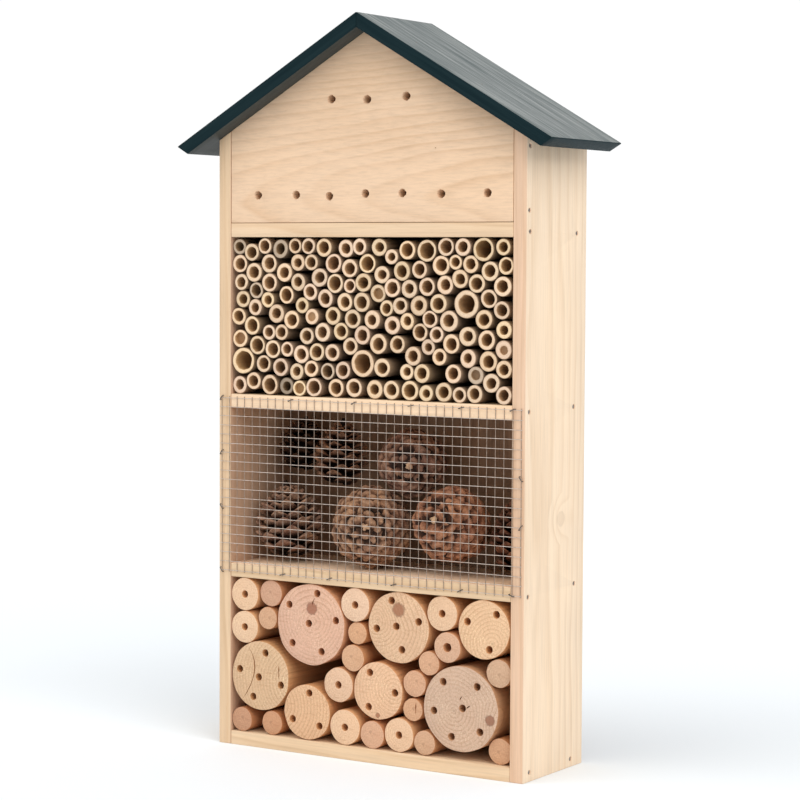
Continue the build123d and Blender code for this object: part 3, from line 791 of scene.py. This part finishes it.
screw_head = 3.0 * mm
screw_bm = bmesh.new()
for x, z in screw_spots:
    top_y = hanger_high.y
    profile = [(screw_head, 0.9 * mm), (screw_head, 0.25 * mm), (0.92 * screw_head, 0.08 * mm),
               (0.75 * screw_head, 0.0)]
    rings = [[screw_bm.verts.new((x + r * math.cos(a), top_y - d, z + r * math.sin(a)))
              for a in (2 * math.pi * k / 32 for k in range(32))] for r, d in profile]
    skin_rings(screw_bm, rings)
    screw_bm.faces.new(rings[0])
    cross = []
    for quarter in range(4):
        turn = Matrix.Rotation(math.radians(90 * quarter + 25), 2)
        cross += [turn @ Vector(p) * mm for p in ((0.35, 0.35), (1.6, 0.3), (1.6, -0.3))]
    cross = sorted(cross, key=lambda p: math.atan2(p.y, p.x))
    mouth = [screw_bm.verts.new((x + p.x, top_y, z + p.y)) for p in cross]
    pocket = [screw_bm.verts.new((x + 0.6 * p.x, top_y - 0.8 * mm, z + 0.6 * p.y)) for p in cross]
    skin_rings(screw_bm, [mouth, pocket])
    screw_bm.faces.new(pocket)
    bmesh.ops.triangle_fill(screw_bm, edges=ring_edges(screw_bm, rings[-1]) + ring_edges(screw_bm, mouth),
                            use_beauty=True, normal=(0, 1, 0))
bmesh.ops.recalc_face_normals(screw_bm, faces=screw_bm.faces)
finished("hanger_screw_pair", screw_bm, zinc, "zinc_plate", "hanger_screws")

# ---------------------------------------------------------------- drilled logs
# Seven thick debarked logs, sawn off square and drilled from the front.
# Their saw cuts are rough, and some have a knot or have begun to split.
log_bore = 2.5 * mm
log_bore_depth = 55 * mm
log_edge = 0.5 * mm

log_wood = wood("log_wood", (0.71, 0.478, 0.335), (0.40, 0.20, 0.105), 2.6 * mm, 0.50, 0.14, True,
                (0.30, 0.115, 0.06))

# tint, pith from the middle in radii, knot in radii and its size in mm, splits as three points in radii
LOG_LOOKS = [
    ((1.02, 0.95, 0.97), (0.05, 0.15), (0.03, 0.40, 4.2), [((0.05, 0.47), (0.06, 0.56), (0.12, 0.66))]),
    ((1.02, 1.04, 0.93), (1.20, -0.10), (9, 9, 3), [
        ((-0.43, 0.81), (-0.20, 0.14), (-0.62, -0.73)), ((0.64, 0.36), (0.65, 0.2), (0.64, -0.03))]),
    ((1.06, 1.00, 0.86), (-1.30, 0.20), (9, 9, 3), []),
    ((1.06, 1.04, 0.95), (-0.70, 0.15), (0.0, 0.50, 4.6), []),
    ((1.16, 1.14, 1.00), (0.35, -0.45), (9, 9, 3), []),
    ((1.12, 1.08, 0.98), (0.65, 0.10), (0.0, -0.84, 1.7), []),
    ((0.90, 0.93, 0.96), (-0.15, -0.05), (0.78, -0.18, 3.5), [((-0.02, 0.19), (0.0, 0.25), (0.04, 0.30)),
                                                          ((0.16, 0.02), (0.20, 0.07), (0.26, 0.10))]),
]


def split(start, middle, end, width):
    """A thin lens-shaped outline along a curve through three points, for a crack."""
    rounds = 9
    line = []
    for k in range(rounds + 1):
        t = k / rounds
        line.append((1 - t) * (1 - 2 * t) * start + 4 * t * (1 - t) * middle + t * (2 * t - 1) * end)
    edges = ([], [])
    for k in range(1, rounds):
        run = (line[k + 1] - line[k - 1]).normalized()
        wide = width * math.sin(math.pi * k / rounds) ** 0.5 * (1 + 0.3 * math.sin(5 * k))
        edges[0].append(line[k] + wide / 2 * Vector((-run.y, run.x)))
        edges[1].append(line[k] - wide / 2 * Vector((-run.y, run.x)))
    return [line[0], *edges[1], line[-1], *reversed(edges[0])]


def round_log(name, node, finish, slot, seed, tint, pith, knot, splits, bore_radius):
    """A length of round wood, front to back, with its bores, knot and splits."""
    low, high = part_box(node)
    middle = Vector(((low.x + high.x) / 2, (low.z + high.z) / 2))
    radius = (high.x - low.x) / 2

    def place(a, b, d):
        swell = 1 + 0.012 * noise.noise(Vector((60 * a, 60 * b, 25 * d + seed)))
        back = min(1.0, d / (4 * mm))
        return Vector((middle.x + (a - middle.x) * (1 + back * (swell - 1.012)), low.y + d,
                       middle.y + (b - middle.y) * (1 + back * (swell - 1.012))))

    outline = ragged(middle, 0.992 * radius, 0.022, seed, 72)
    pits = []
    if bore_radius:
        for number, spot in enumerate(bores(node, bore_radius, log_bore_depth)):
            wear = seed + 0.37 * number
            pits.append([(ragged(spot, 1.05 * bore_radius, 0.07, wear), 0.0),
                         (ragged(spot, bore_radius, 0.05, wear), 0.35 * mm)]
                        + [(ragged(spot, bore_radius, 0.05, wear + d), d * mm) for d in (3, 12, 30)]
                        + [(ragged(spot, 0.9 * bore_radius, 0.0, wear), 0.98 * log_bore_depth)])
    for start, bend, end in splits:
        points = [middle + radius * Vector(p) for p in (start, bend, end)]
        outline_in = split(*points, 0.75 * mm)
        pits.append([(outline_in, 0.0), ([middle + 0.999 * (p - middle) for p in outline_in], 3 * mm)])
    bm = slab(outline, high.y - low.y, place, log_edge, pits, stations=6)
    piece = finished(name, bm, finish, slot, node)
    pith_place = (middle.x + radius * pith[0], low.y - seed, middle.y + radius * pith[1])
    knot_place = (middle.x + radius * knot[0], low.y, middle.y + radius * knot[1])
    grained(piece, 1, pith_place, tint, knot_place, knot[2] * mm)


for number, (tint, pith, knot, splits) in enumerate(LOG_LOOKS, 1):
    round_log(f"log_{number}", f"drilled_log_{number}", log_wood, "log_wood", 1.7 * number,
              tint, pith, knot, splits, log_bore)

# ---------------------------------------------------------------- drilled branches
# Eight thinner lengths with one bore down the pith, cream where they are
# freshly sawn. They fill the wider gaps between the logs.
branch_wood = wood("branch_wood", (0.73, 0.508, 0.365), (0.42, 0.22, 0.12), 1.6 * mm, 0.24, 0.08, True)

# tint and bore radius in mm
BRANCH_LOOKS = [
    ((1.08, 1.05, 0.96), 2.5), ((1.10, 1.09, 1.00), 2.5), ((1.12, 1.11, 1.08), 2.5),
    ((1.04, 1.00, 0.94), 2.5), ((1.06, 1.02, 0.92), 2.5), ((1.08, 1.04, 0.94), 2.5),
    ((0.92, 0.82, 0.76), 3.0), ((1.08, 1.04, 0.94), 2.5),
]
for number, (tint, bore) in enumerate(BRANCH_LOOKS, 1):
    round_log(f"bored_branch_{number}", f"drilled_branch_{number}", branch_wood, "branch_wood",
              20 + 1.3 * number, tint, (0.04, 0.05), (9, 9, 3), [], bore * mm)

# ---------------------------------------------------------------- plain branches
# Thirteen undrilled ends that fill smaller gaps, cut from older and redder wood.
# Each shows the dark dot of its pith, and they sit a little further in.
PLAIN_TINTS = [
    (0.83, 0.70, 0.65), (0.89, 0.76, 0.65), (0.95, 0.78, 0.63), (0.93, 0.80, 0.68),
    (0.74, 0.58, 0.49), (0.81, 0.62, 0.49), (0.91, 0.78, 0.70), (0.93, 0.78, 0.67),
    (0.95, 0.81, 0.72), (0.91, 0.76, 0.63), (0.89, 0.78, 0.68), (0.87, 0.81, 0.74),
    (0.89, 0.72, 0.58),
]
plain_branch = random.Random(11)
for number, tint in enumerate(PLAIN_TINTS, 1):
    pith = (plain_branch.uniform(-0.2, 0.2), plain_branch.uniform(-0.1, 0.25))
    cracks = [((0.35, 0.7), (0.3, 0.2), (0.32, -0.35))] if number == 10 else []
    round_log(f"branch_{number}", f"plain_branch_{number}", branch_wood, "branch_wood",
              40 + 1.9 * number, tint, pith, (9, 9, 3), cracks, 0)

# ---------------------------------------------------------------- pine cones
# Seven dry cones behind the mesh, three of them with their stem ends to the
# front. The scales wind round the core by the golden angle: pads that lie
# close on a shut cone, and thin spoons that stand out on an open one.
golden_angle = math.radians(137.508)
cone_widest = 0.3

cone_bark, cone_tree, cone_shader = new_finish("cone_scale", 0.15)
along_scale = put(cone_tree, "ShaderNodeSeparateXYZ", {"Vector": stored(cone_tree, "scale")})
cone_place = put(cone_tree, "ShaderNodeTexCoord").outputs["Object"]
mottle = cloud(cone_tree, cone_place, 420.0, 5.0, 0.65)
blush = cloud(cone_tree, cone_place, 60.0, 2.0)
streaks = cloud(cone_tree, times(cone_tree, stored(cone_tree, "scale"), (5.0, 26.0, 40.0)), detail=3.0)
reach = sums(cone_tree, "ADD", along_scale.outputs["X"],
             between(cone_tree, mottle, 0.3, 0.7, -0.09, 0.09))
# Each scale is near black at its seat and on the core, lightest about four fifths out, and darker again at
# the very tip. The near-black seats are partly the scales' own hidden brown and partly painted shade between
# the scales.
cone_colour = ramp(cone_tree, reach, [
    (0.0, (0.010, 0.006, 0.004)), (0.40, (0.050, 0.026, 0.017)), (0.54, (0.18, 0.100, 0.066)),
    (0.72, (0.31, 0.195, 0.135)), (0.82, (0.38, 0.25, 0.175)), (0.90, (0.31, 0.195, 0.135)),
    (1.0, (0.22, 0.135, 0.092))])
cone_colour = mixed(cone_tree, 1.0, cone_colour,
                    ramp(cone_tree, streaks, [(0.3, 0.66), (0.55, 1.0), (0.75, 1.2)]), "MULTIPLY")
cone_colour = mixed(cone_tree, 1.0, cone_colour,
                    ramp(cone_tree, mottle, [(0.3, 0.62), (0.5, 1.0), (0.7, 1.3)]), "MULTIPLY")
cone_colour = mixed(cone_tree, 1.0, cone_colour, ramp(cone_tree, blush, [
    (0.35, (0.82, 0.74, 0.74)), (0.5, (1.0, 1.0, 1.0)), (0.65, (1.12, 1.08, 0.98))]), "MULTIPLY")
cone_colour = mixed(cone_tree, 1.0, cone_colour, stored(cone_tree, "tint"), "MULTIPLY")
dress(cone_tree, cone_shader, cone_colour, between(cone_tree, mottle, 0.3, 0.7, 0.6, 0.85),
      sums(cone_tree, "ADD", streaks, mottle), 0.5 * mm)

# tint, how far the scales stand open, how many scales; then the way to the tip, length,
# largest radius, and how far it lies turned to the right and up, in degrees
CONES = [
    ((1.10, 1.0, 0.96), 0.85, 84, (-0.16, 0.03, 1.0), 58.0, 26.5, (0, 0)),
    ((1.20, 1.06, 0.92), 0.0, 270, (-0.03, 1.0, -0.07), 62.0, 26.5, (20, 0)),
    ((1.18, 0.86, 0.70), 0.0, 190, (0.08, 0.90, 0.34), 60.0, 24.5, (6, 34)),
    ((0.86, 0.72, 0.68), 0.0, 190, (-0.12, 1.0, 0.03), 50.0, 22.5, (18, 0)),
    ((0.78, 0.62, 0.52), 0.90, 70, (0.05, 0.04, 1.0), 51.0, 21.5, (0, 0)),
    ((0.90, 0.64, 0.56), 0.75, 76, (-0.04, 0.05, 1.0), 58.0, 20.5, (0, 0)),
    # The seventh cone's tint is painted shade: it is darkened nearly to black so that it reads as lying in
    # shade.
    ((0.24, 0.17, 0.13), 0.80, 60, (0.10, 0.04, 1.0), 42.0, 18.0, (0, 0)),
]


def egg(t):
    """A cone's outline, as a share of its largest radius, from its stem end to its tip."""
    if t < cone_widest:
        return 0.62 + 0.38 * math.sin(math.pi / 2 * t / cone_widest)
    return max(0.1, math.cos(math.pi / 2 * 0.94 * (t - cone_widest) / (1 - cone_widest))) ** 0.8


def cone_scale(bm, seat, out, up, length, width, thick, curl, marks, mark):
    """One scale: a closed spoon from its seat outwards, with a thick rounded end."""
    side_way = up.cross(out).normalized()
    columns = 7
    rows = [0.0, 0.30, 0.55, 0.75, 0.88, 0.96, 1.0]
    grids = ([], [])
    for t in rows:
        round_off = math.sqrt(max(0.0, 1 - max(0.0, (t - 0.55) / 0.47) ** 2))
        wide = width * (0.40 + 0.60 * min(1.0, t / 0.55)) * max(0.22, round_off)
        deep = thick * (0.35 + 0.65 * t) * max(0.35, round_off ** 0.5)
        for grid, sign in zip(grids, (1, -1)):
            row = []
            for c in range(columns):
                s = 2 * c / (columns - 1) - 1
                dome = sign * 0.5 * deep * math.sqrt(max(0.0, 1 - 0.94 * s * s))
                boss = 0.28 * thick * math.exp(-((t - 0.74) / 0.13) ** 2 - (s / 0.34) ** 2)
                umbo = boss if sign > 0 else 0.0
                lift = curl * length * t * t - 0.10 * width * s * s
                point = seat + out * (length * t) + side_way * (wide / 2 * s) + up * (lift + dome + umbo)
                row.append(bm.verts.new(point))
                marks.append((t * (1 - 0.25 * s * s), 0.5 * s, mark))
            grid.append(row)
    top, under = grids
    for upper, lower in ((top, under), (under, top)):
        for one, two in zip(upper, upper[1:]):
            for c in range(columns - 1):
                bm.faces.new((one[c], one[c + 1], two[c + 1], two[c]))
    for k in range(len(rows) - 1):
        bm.faces.new((top[k][0], top[k + 1][0], under[k + 1][0], under[k][0]))
        bm.faces.new((top[k][-1], under[k][-1], under[k + 1][-1], top[k + 1][-1]))
    for c in range(columns - 1):
        bm.faces.new((top[-1][c], top[-1][c + 1], under[-1][c + 1], under[-1][c]))
        bm.faces.new((top[0][c + 1], top[0][c], under[0][c], under[0][c + 1]))


def turned_ring(bm, centre, one, two, radius, count=20, rough=0.0, seed=0.0):
    ring = []
    for k in range(count):
        a = 2 * math.pi * k / count
        uneven = rough * noise.noise(Vector((2 * math.cos(a), 2 * math.sin(a), seed)))
        spoke = math.cos(a) * one + math.sin(a) * two
        ring.append(bm.verts.new(centre + radius * (1 + uneven) * spoke))
    return ring


stub_tint = (1.55, 1.50, 1.30)
cone_luck = random.Random(7)
for number, (tint, openness, count, way, length, largest, turn) in enumerate(CONES, 1):
    node = f"pine_cone_{number}"
    axis = Vector(way).normalized()
    length *= mm
    largest *= mm
    points = [v.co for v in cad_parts[node].data.vertices]
    start = min(p.dot(axis) for p in points)
    stem_rim = limits([p for p in points if p.dot(axis) < start + 0.1 * mm])
    stem = (stem_rim[0] + stem_rim[1]) / 2
    one = axis.orthogonal().normalized()
    two = axis.cross(one)
    shut = openness == 0
    stub_points = 0
    bm = bmesh.new()
    marks = []
    core = []
    for k in range(11):
        t = k / 10
        core.append(turned_ring(bm, stem + axis * (length * (0.05 + 0.88 * t)), one, two,
                                largest * egg(t) * (0.90 if shut else 0.30)))
    skin_rings(bm, core)
    bm.faces.new(core[0])
    bm.faces.new(core[-1])
    # The core takes the near-black end of the colour ramp, as painted shade between the scales.
    marks += [(0.12, 0.0, 0.0)] * len(bm.verts)
    if shut:
        # pads laid over the dome of the stem end first, then down the sides to the tip
        outline = [(egg(0) * k / 6, 0.05 * (1 - (k / 6) ** 2)) for k in range(1, 6)]
        outline = [(r, -z) for r, z in outline] + [(egg(t), t) for t in (k / 24 for k in range(25))]
        lengths = [0.0]
        for (r1, z1), (r2, z2) in zip(outline, outline[1:]):
            band = math.hypot((r2 - r1) * largest, (z2 - z1) * length) * (r1 + r2) / 2 * largest
            lengths.append(lengths[-1] + band * 2 * math.pi)
        pad = math.sqrt(lengths[-1] / count)
        for k in range(count):
            wanted = lengths[-1] * (k + 0.6) / count
            i = next(j for j in range(1, len(lengths)) if lengths[j] >= wanted or j == len(lengths) - 1)
            share = (wanted - lengths[i - 1]) / (lengths[i] - lengths[i - 1])
            r = (outline[i - 1][0] + (outline[i][0] - outline[i - 1][0]) * share) * largest
            z = (outline[i - 1][1] + (outline[i][1] - outline[i - 1][1]) * share) * length
            spoke = math.cos(k * golden_angle) * one + math.sin(k * golden_angle) * two
            along = (spoke * (outline[i][0] - outline[i - 1][0]) * largest
                     + axis * (outline[i][1] - outline[i - 1][1]) * length).normalized()
            normal = (spoke * along.dot(axis) - axis * along.dot(spoke)).normalized()
            lean = math.radians(11) * cone_luck.uniform(0.1, 1.9)
            out = along * math.cos(lean) + normal * math.sin(lean)
            up = normal * math.cos(lean) - along * math.sin(lean)
            size = pad * cone_luck.uniform(0.80, 1.12)
            reach_in = min(1.0, 0.78 + 0.5 * r / largest)
            seat = stem + spoke * r + axis * (z + 0.03 * length) - along * 0.95 * size - normal * 0.28 * size
            cone_scale(bm, seat, out, up, 1.60 * size, 1.80 * size * reach_in, 0.16 * size, 0.05, marks,
                       cone_luck.random())
        # the broken stub of the stalk
        stub = []
        for r, z in ((0.10, 0.06), (0.10, -0.02), (0.08, -0.035), (0.03, -0.04)):
            stub.append(turned_ring(bm, stem + axis * (z * length), one, two, r * largest,
                                    14, 0.9, 3.0 * number))
        skin_rings(bm, stub)
        bm.faces.new(stub[0])
        bm.faces.new(stub[-1])
        stub_points = sum(len(ring) for ring in stub)
        marks += [(0.8, 0.0, 0.0)] * stub_points
    else:
        for k in range(count):
            t = ((k + 0.5) / count) ** 0.85
            spoke = math.cos(k * golden_angle) * one + math.sin(k * golden_angle) * two
            lean = 0.95 - 0.80 * openness + 0.5 * max(0.0, t - 0.5) + cone_luck.uniform(-0.12, 0.12)
            out = (spoke * math.cos(lean) + axis * math.sin(lean)).normalized()
            up = (axis * math.cos(lean) - spoke * math.sin(lean)).normalized()
            hull = largest * egg(t)
            reach_out = 0.78 * hull / max(0.35, math.cos(lean)) * cone_luck.uniform(0.88, 0.98)
            width = (0.60 - 0.20 * t) * largest * (0.7 + 0.4 * egg(t)) * cone_luck.uniform(0.9, 1.05)
            seat = stem + axis * (length * (0.03 + 0.80 * t)) + spoke * (0.2 * hull)
            cone_scale(bm, seat, out, up, reach_out, width, 0.085 * largest, 0.13, marks,
                       cone_luck.random())
    if shut:
        rotation = (Matrix.Rotation(math.radians(turn[0]), 3, "Z")
                    @ Matrix.Rotation(math.radians(-turn[1]), 3, "X"))
        bmesh.ops.rotate(bm, cent=stem + axis * length / 2, matrix=rotation, verts=bm.verts)
        lift = max(0.0, min(vertex.co.z for vertex in bm.verts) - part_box(node)[0].z)
        bmesh.ops.translate(bm, vec=(0, 0, -lift), verts=bm.verts)
    bmesh.ops.recalc_face_normals(bm, faces=bm.faces)
    piece = finished(f"cone_{number}", bm, cone_bark, "pine_cone", node, crease=60)
    vector_attribute(piece.data, "scale", marks)
    vector_attribute(piece.data, "tint", [tint] * (len(marks) - stub_points) + [stub_tint] * stub_points)

# ---------------------------------------------------------------- bamboo canes
# Straight lengths cut between the knuckles, laid in nine rows. Each is a
# little out of round, sawn not quite square, and lined with papery brown pith.
bamboo, cane_tree, cane_shader = new_finish("bamboo", 0.35)
cane_parts = put(cane_tree, "ShaderNodeSeparateXYZ", {"Vector": stored(cane_tree, "cane")})
cane_place = put(cane_tree, "ShaderNodeTexCoord").outputs["Object"]
cane_fibre = cloud(cane_tree, times(cane_tree, cane_place, (1500.0, 22.0, 1500.0)), detail=3.0)
cane_dots = cloud(cane_tree, times(cane_tree, cane_place, (2300.0, 40.0, 2300.0)), detail=1.0)
cane_grime = cloud(cane_tree, cane_place, 150.0, 3.0)
wall = ramp(cane_tree, cane_parts.outputs["X"], [
    (0.0, (0.46, 0.275, 0.135)), (0.06, (0.60, 0.40, 0.23)), (0.14, (0.85, 0.63, 0.42)),
    (0.50, (0.92, 0.70, 0.49)), (0.84, (0.83, 0.615, 0.42)), (0.95, (0.42, 0.29, 0.18)),
    (1.0, (0.30, 0.20, 0.125))])
# Painted shade: the outer skin darkens from 1 mm to 16 mm in from the front end, down to about a fifth, so
# that the gaps between the canes read dark.
lit_skin = between(cane_tree, cane_parts.outputs["Y"], 1 * mm, 16 * mm, 1.0, 0.22)
on_skin = between(cane_tree, cane_parts.outputs["X"], 0.9, 1.0)
skin_painted_shade = mixed(cane_tree, on_skin, (1.0, 1.0, 1.0), lit_skin)
wall = mixed(cane_tree, 1.0, wall, skin_painted_shade, "MULTIPLY")
cane_colour = mixed(cane_tree, between(cane_tree, cane_dots, 0.58, 0.72, 0.0, 0.35),
                    wall, (0.34, 0.20, 0.09))
cane_colour = mixed(cane_tree, 1.0, cane_colour,
                    ramp(cane_tree, cane_fibre, [(0.3, 0.86), (0.6, 1.0), (0.8, 1.05)]), "MULTIPLY")
cane_colour = mixed(cane_tree, between(cane_tree, cane_grime, 0.62, 0.8, 0.0, 0.35),
                    cane_colour, (0.30, 0.20, 0.10))
cane_colour = mixed(cane_tree, 1.0, cane_colour, stored(cane_tree, "tint"), "MULTIPLY")
dress(cane_tree, cane_shader, cane_colour, between(cane_tree, cane_fibre, 0.3, 0.7, 0.42, 0.66),
      cane_fibre, 0.10 * mm)

cane_sides = 30
cane_luck = random.Random(23)
# by row and place: weathered grey or sooty canes, and those cut at a knuckle, which closes the bore
GREY_CANES = {(1, 0): 0.66, (1, 3): 0.60, (8, 4): 0.80, (9, 3): 0.42, (8, 10): 0.70, (3, 1): 0.85}
KNUCKLE_CANES = {(6, 14): 2.2, (4, 7): 3.0, (5, 5): 1.6, (6, 0): 4.0, (9, 4): 3.4, (8, 10): 2.4}


def cane(bm, marks, tints, low, high, bore, number, grey=1.0, knuckle=0.0):
    """One cane: its skin, its sawn front rim, and its bore, open right through or shut at a knuckle."""
    middle = Vector(((low.x + high.x) / 2, (low.z + high.z) / 2))
    outer = (high.x - low.x) / 2
    oval = cane_luck.uniform(-0.03, 0.03)
    lean = cane_luck.uniform(0, 2 * math.pi)
    slant = cane_luck.uniform(0.0, 0.045)
    drift = Vector((cane_luck.uniform(-1, 1), cane_luck.uniform(-1, 1))) * 0.12 * (outer - bore)
    tone = cane_luck.uniform(0.86, 1.06)
    tint = (tone, tone * cane_luck.uniform(0.95, 0.99), tone * cane_luck.uniform(0.88, 1.02))
    if grey < 1:
        tint = (0.96 * tone * grey, 0.97 * tone * grey, 1.00 * tone * grey)
    chip = 0.22 * mm
    depth = high.y - low.y
    # (share of the way from bore to skin, distance in from the front end)
    stations = [(1.0, depth), (1.0, 0.5 * depth), (1.0, 8 * mm), (1.0, 1.2 * mm),
                (1.0, 0.35 * mm), (0.95, 0.08 * mm), (0.80, 0.0), (0.30, 0.0),
                (0.10, 0.06 * mm), (0.02, 0.35 * mm), (0.0, 1.5 * mm)]
    if knuckle:
        stations += [(0.0, knuckle * mm), (-0.35, (knuckle + 0.3) * mm)]
    else:
        stations += [(0.0, 9 * mm), (0.0, 0.5 * depth), (0.0, depth)]
    rings = []
    for share, inset in stations:
        ring = []
        for k in range(cane_sides):
            a = 2 * math.pi * k / cane_sides
            way = Vector((math.cos(a), math.sin(a)))
            rough = noise.noise(Vector((1.6 * way.x + number, 1.6 * way.y, 40 * inset)))
            skin_r = outer * (0.98 + oval * math.cos(2 * a - lean) * 0.5 + 0.022 * rough)
            bore_r = bore * (0.98 + oval * math.cos(2 * a - lean) + 0.09 * noise.noise(
                Vector((2.2 * way.x, 2.2 * way.y + number, 60 * inset))))
            r = bore_r + (skin_r - bore_r) * share
            shift = drift * (1 - share)
            ragged_end = chip * noise.noise(Vector((9 * way.x + number, 9 * way.y, 4 * share)))
            cut = slant * outer * (math.cos(a - lean) + 1) if inset < 1 * mm else 0.0
            y = low.y + inset + cut + (abs(ragged_end) if inset < 0.2 * mm else 0.0)
            spot = (middle.x + r * way.x + shift.x, min(y, high.y), middle.y + r * way.y + shift.y)
            ring.append(bm.verts.new(spot))
            marks.append((share, inset, number))
            tints.append(tint)
        rings.append(ring)
    skin_rings(bm, rings)
    if knuckle:
        bm.faces.new(rings[0])
        bm.faces.new(rings[-1])
    else:
        skin_rings(bm, [rings[-1], rings[0]])


cane_count = 0
for row in range(1, 10):
    node = f"cane_row_{row}"
    bm = bmesh.new()
    marks = []
    tints = []
    laid = sorted(loose_parts(node), key=lambda part: sum(p.x for p in part) / len(part))
    for place, points in enumerate(laid):
        low, high = limits(points)
        middle = Vector(((low.x + high.x) / 2, 0, (low.z + high.z) / 2))
        bore = min(math.hypot(p.x - middle.x, p.z - middle.z) for p in points)
        cane(bm, marks, tints, low, high, bore, cane_count,
             GREY_CANES.get((row, place), 1.0), KNUCKLE_CANES.get((row, place), 0.0))
        cane_count += 1
    bmesh.ops.recalc_face_normals(bm, faces=bm.faces)
    piece = finished(f"canes_row_{row}", bm, bamboo, "bamboo", node, crease=50)
    vector_attribute(piece.data, "cane", marks)
    vector_attribute(piece.data, "tint", tints)

# ---------------------------------------------------------------- wire mesh
# Welded and galvanised square mesh, cut to the cone bay with its wire ends
# left proud. The uprights lie against the wood and the crosswires over them.
galvanised = metal("galvanised", (0.66, 0.575, 0.51), (0.46, 0.385, 0.33), 0.6, 0.40, 0.6)
# The uprights take a darker copy of the galvanised finish, as painted shade: it is one wire, and only the
# light on it differs.
galvanised_painted_shade = metal("galvanised_painted_shade", (0.42, 0.325, 0.26), (0.27, 0.205, 0.16), 0.5, 0.45, 0.65)
wire_radius = 0.3 * mm
wire_sides = 8
mesh_low, mesh_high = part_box("wire_mesh")
mesh_columns = 38
mesh_rows = 20
wire_stub = 1.2 * mm
column_gap = (mesh_high.x - mesh_low.x - 2 * wire_stub) / (mesh_columns - 1)
row_gap = (mesh_high.z - mesh_low.z - 2 * wire_stub) / (mesh_rows - 1)


def wire(bm, points, radius, sides=wire_sides):
    """A round wire through some points, closed at both ends."""
    rings = []
    for i, point in enumerate(points):
        run = (points[min(i + 1, len(points) - 1)] - points[max(i - 1, 0)]).normalized()
        one = run.cross(Vector((0.31, 0.87, 0.38))).normalized()
        two = run.cross(one)
        rings.append([bm.verts.new(point + radius * (math.cos(a) * one + math.sin(a) * two))
                      for a in (2 * math.pi * k / sides for k in range(sides))])
    skin_rings(bm, rings)
    bm.faces.new(rings[0])
    bm.faces.new(rings[-1])


wire_bm = bmesh.new()
upright_y = mesh_high.y - wire_radius
cross_y = mesh_low.y + wire_radius
for column in range(mesh_columns):
    x = mesh_low.x + wire_stub + column * column_gap
    line = []
    for k in range(2 * mesh_rows + 1):
        z = mesh_low.z + (mesh_high.z - mesh_low.z) * k / (2 * mesh_rows)
        sway = 0.28 * mm * noise.noise(Vector((3.1 * column, 18 * z, 0.5)))
        line.append(Vector((x + sway, upright_y, z)))
    wire(wire_bm, line, 0.72 * wire_radius)
upright_faces = len(wire_bm.faces)
for row in range(mesh_rows):
    z = mesh_low.z + wire_stub + row * row_gap
    line = []
    for k in range(2 * mesh_columns + 1):
        x = mesh_low.x + (mesh_high.x - mesh_low.x) * k / (2 * mesh_columns)
        sway = 0.30 * mm * noise.noise(Vector((14 * x, 2.7 * row, 7.5)))
        line.append(Vector((x, cross_y + 0.08 * mm, z + sway)))
    wire(wire_bm, line, 0.78 * wire_radius)
bmesh.ops.recalc_face_normals(wire_bm, faces=wire_bm.faces)
panel = finished("mesh_panel", wire_bm, galvanised, "galvanised_wire", "wire_mesh", crease=60)
# The uprights take the darker copy, as painted shade.
panel.data.materials.append(galvanised_painted_shade)
for face in panel.data.polygons[:upright_faces]:
    face.material_index = 1

# ---------------------------------------------------------------- staples
# Sixteen steel staples driven by hand at every slant over the wires, into
# the shelves and the sides. Their crowns are slightly bowed by the hammer.
staple_steel = metal("staple_steel", (0.17, 0.145, 0.13), (0.07, 0.06, 0.05), 0.7, 0.35, 0.6)
staple_radius = 0.3 * mm
staple_bm = bmesh.new()
for points in loose_parts("mesh_staples"):
    low, high = limits(points)
    crown = [p for p in points if p.y < low.y + 0.1 * mm]
    left = min(crown, key=lambda p: p.x)
    right = max(crown, key=lambda p: p.x)
    middle = (left + right) / 2
    run = right - left
    run.y = 0
    span = run.length / 2 - staple_radius
    run.normalize()
    y = low.y + staple_radius
    bend = 0.6 * mm
    route = [(-span, high.y - y), (-span, bend), (-0.95 * span, 0.25 * bend), (-span + bend, 0.0),
             (-0.3 * span, 0.04 * mm), (0.3 * span, 0.04 * mm),
             (span - bend, 0.0), (0.95 * span, 0.25 * bend), (span, bend), (span, high.y - y)]
    line = [Vector((middle.x, y + depth, middle.z)) + run * across for across, depth in route]
    wire(staple_bm, line, staple_radius)
bmesh.ops.recalc_face_normals(staple_bm, faces=staple_bm.faces)
finished("staples", staple_bm, staple_steel, "staple_steel", "mesh_staples", crease=60)
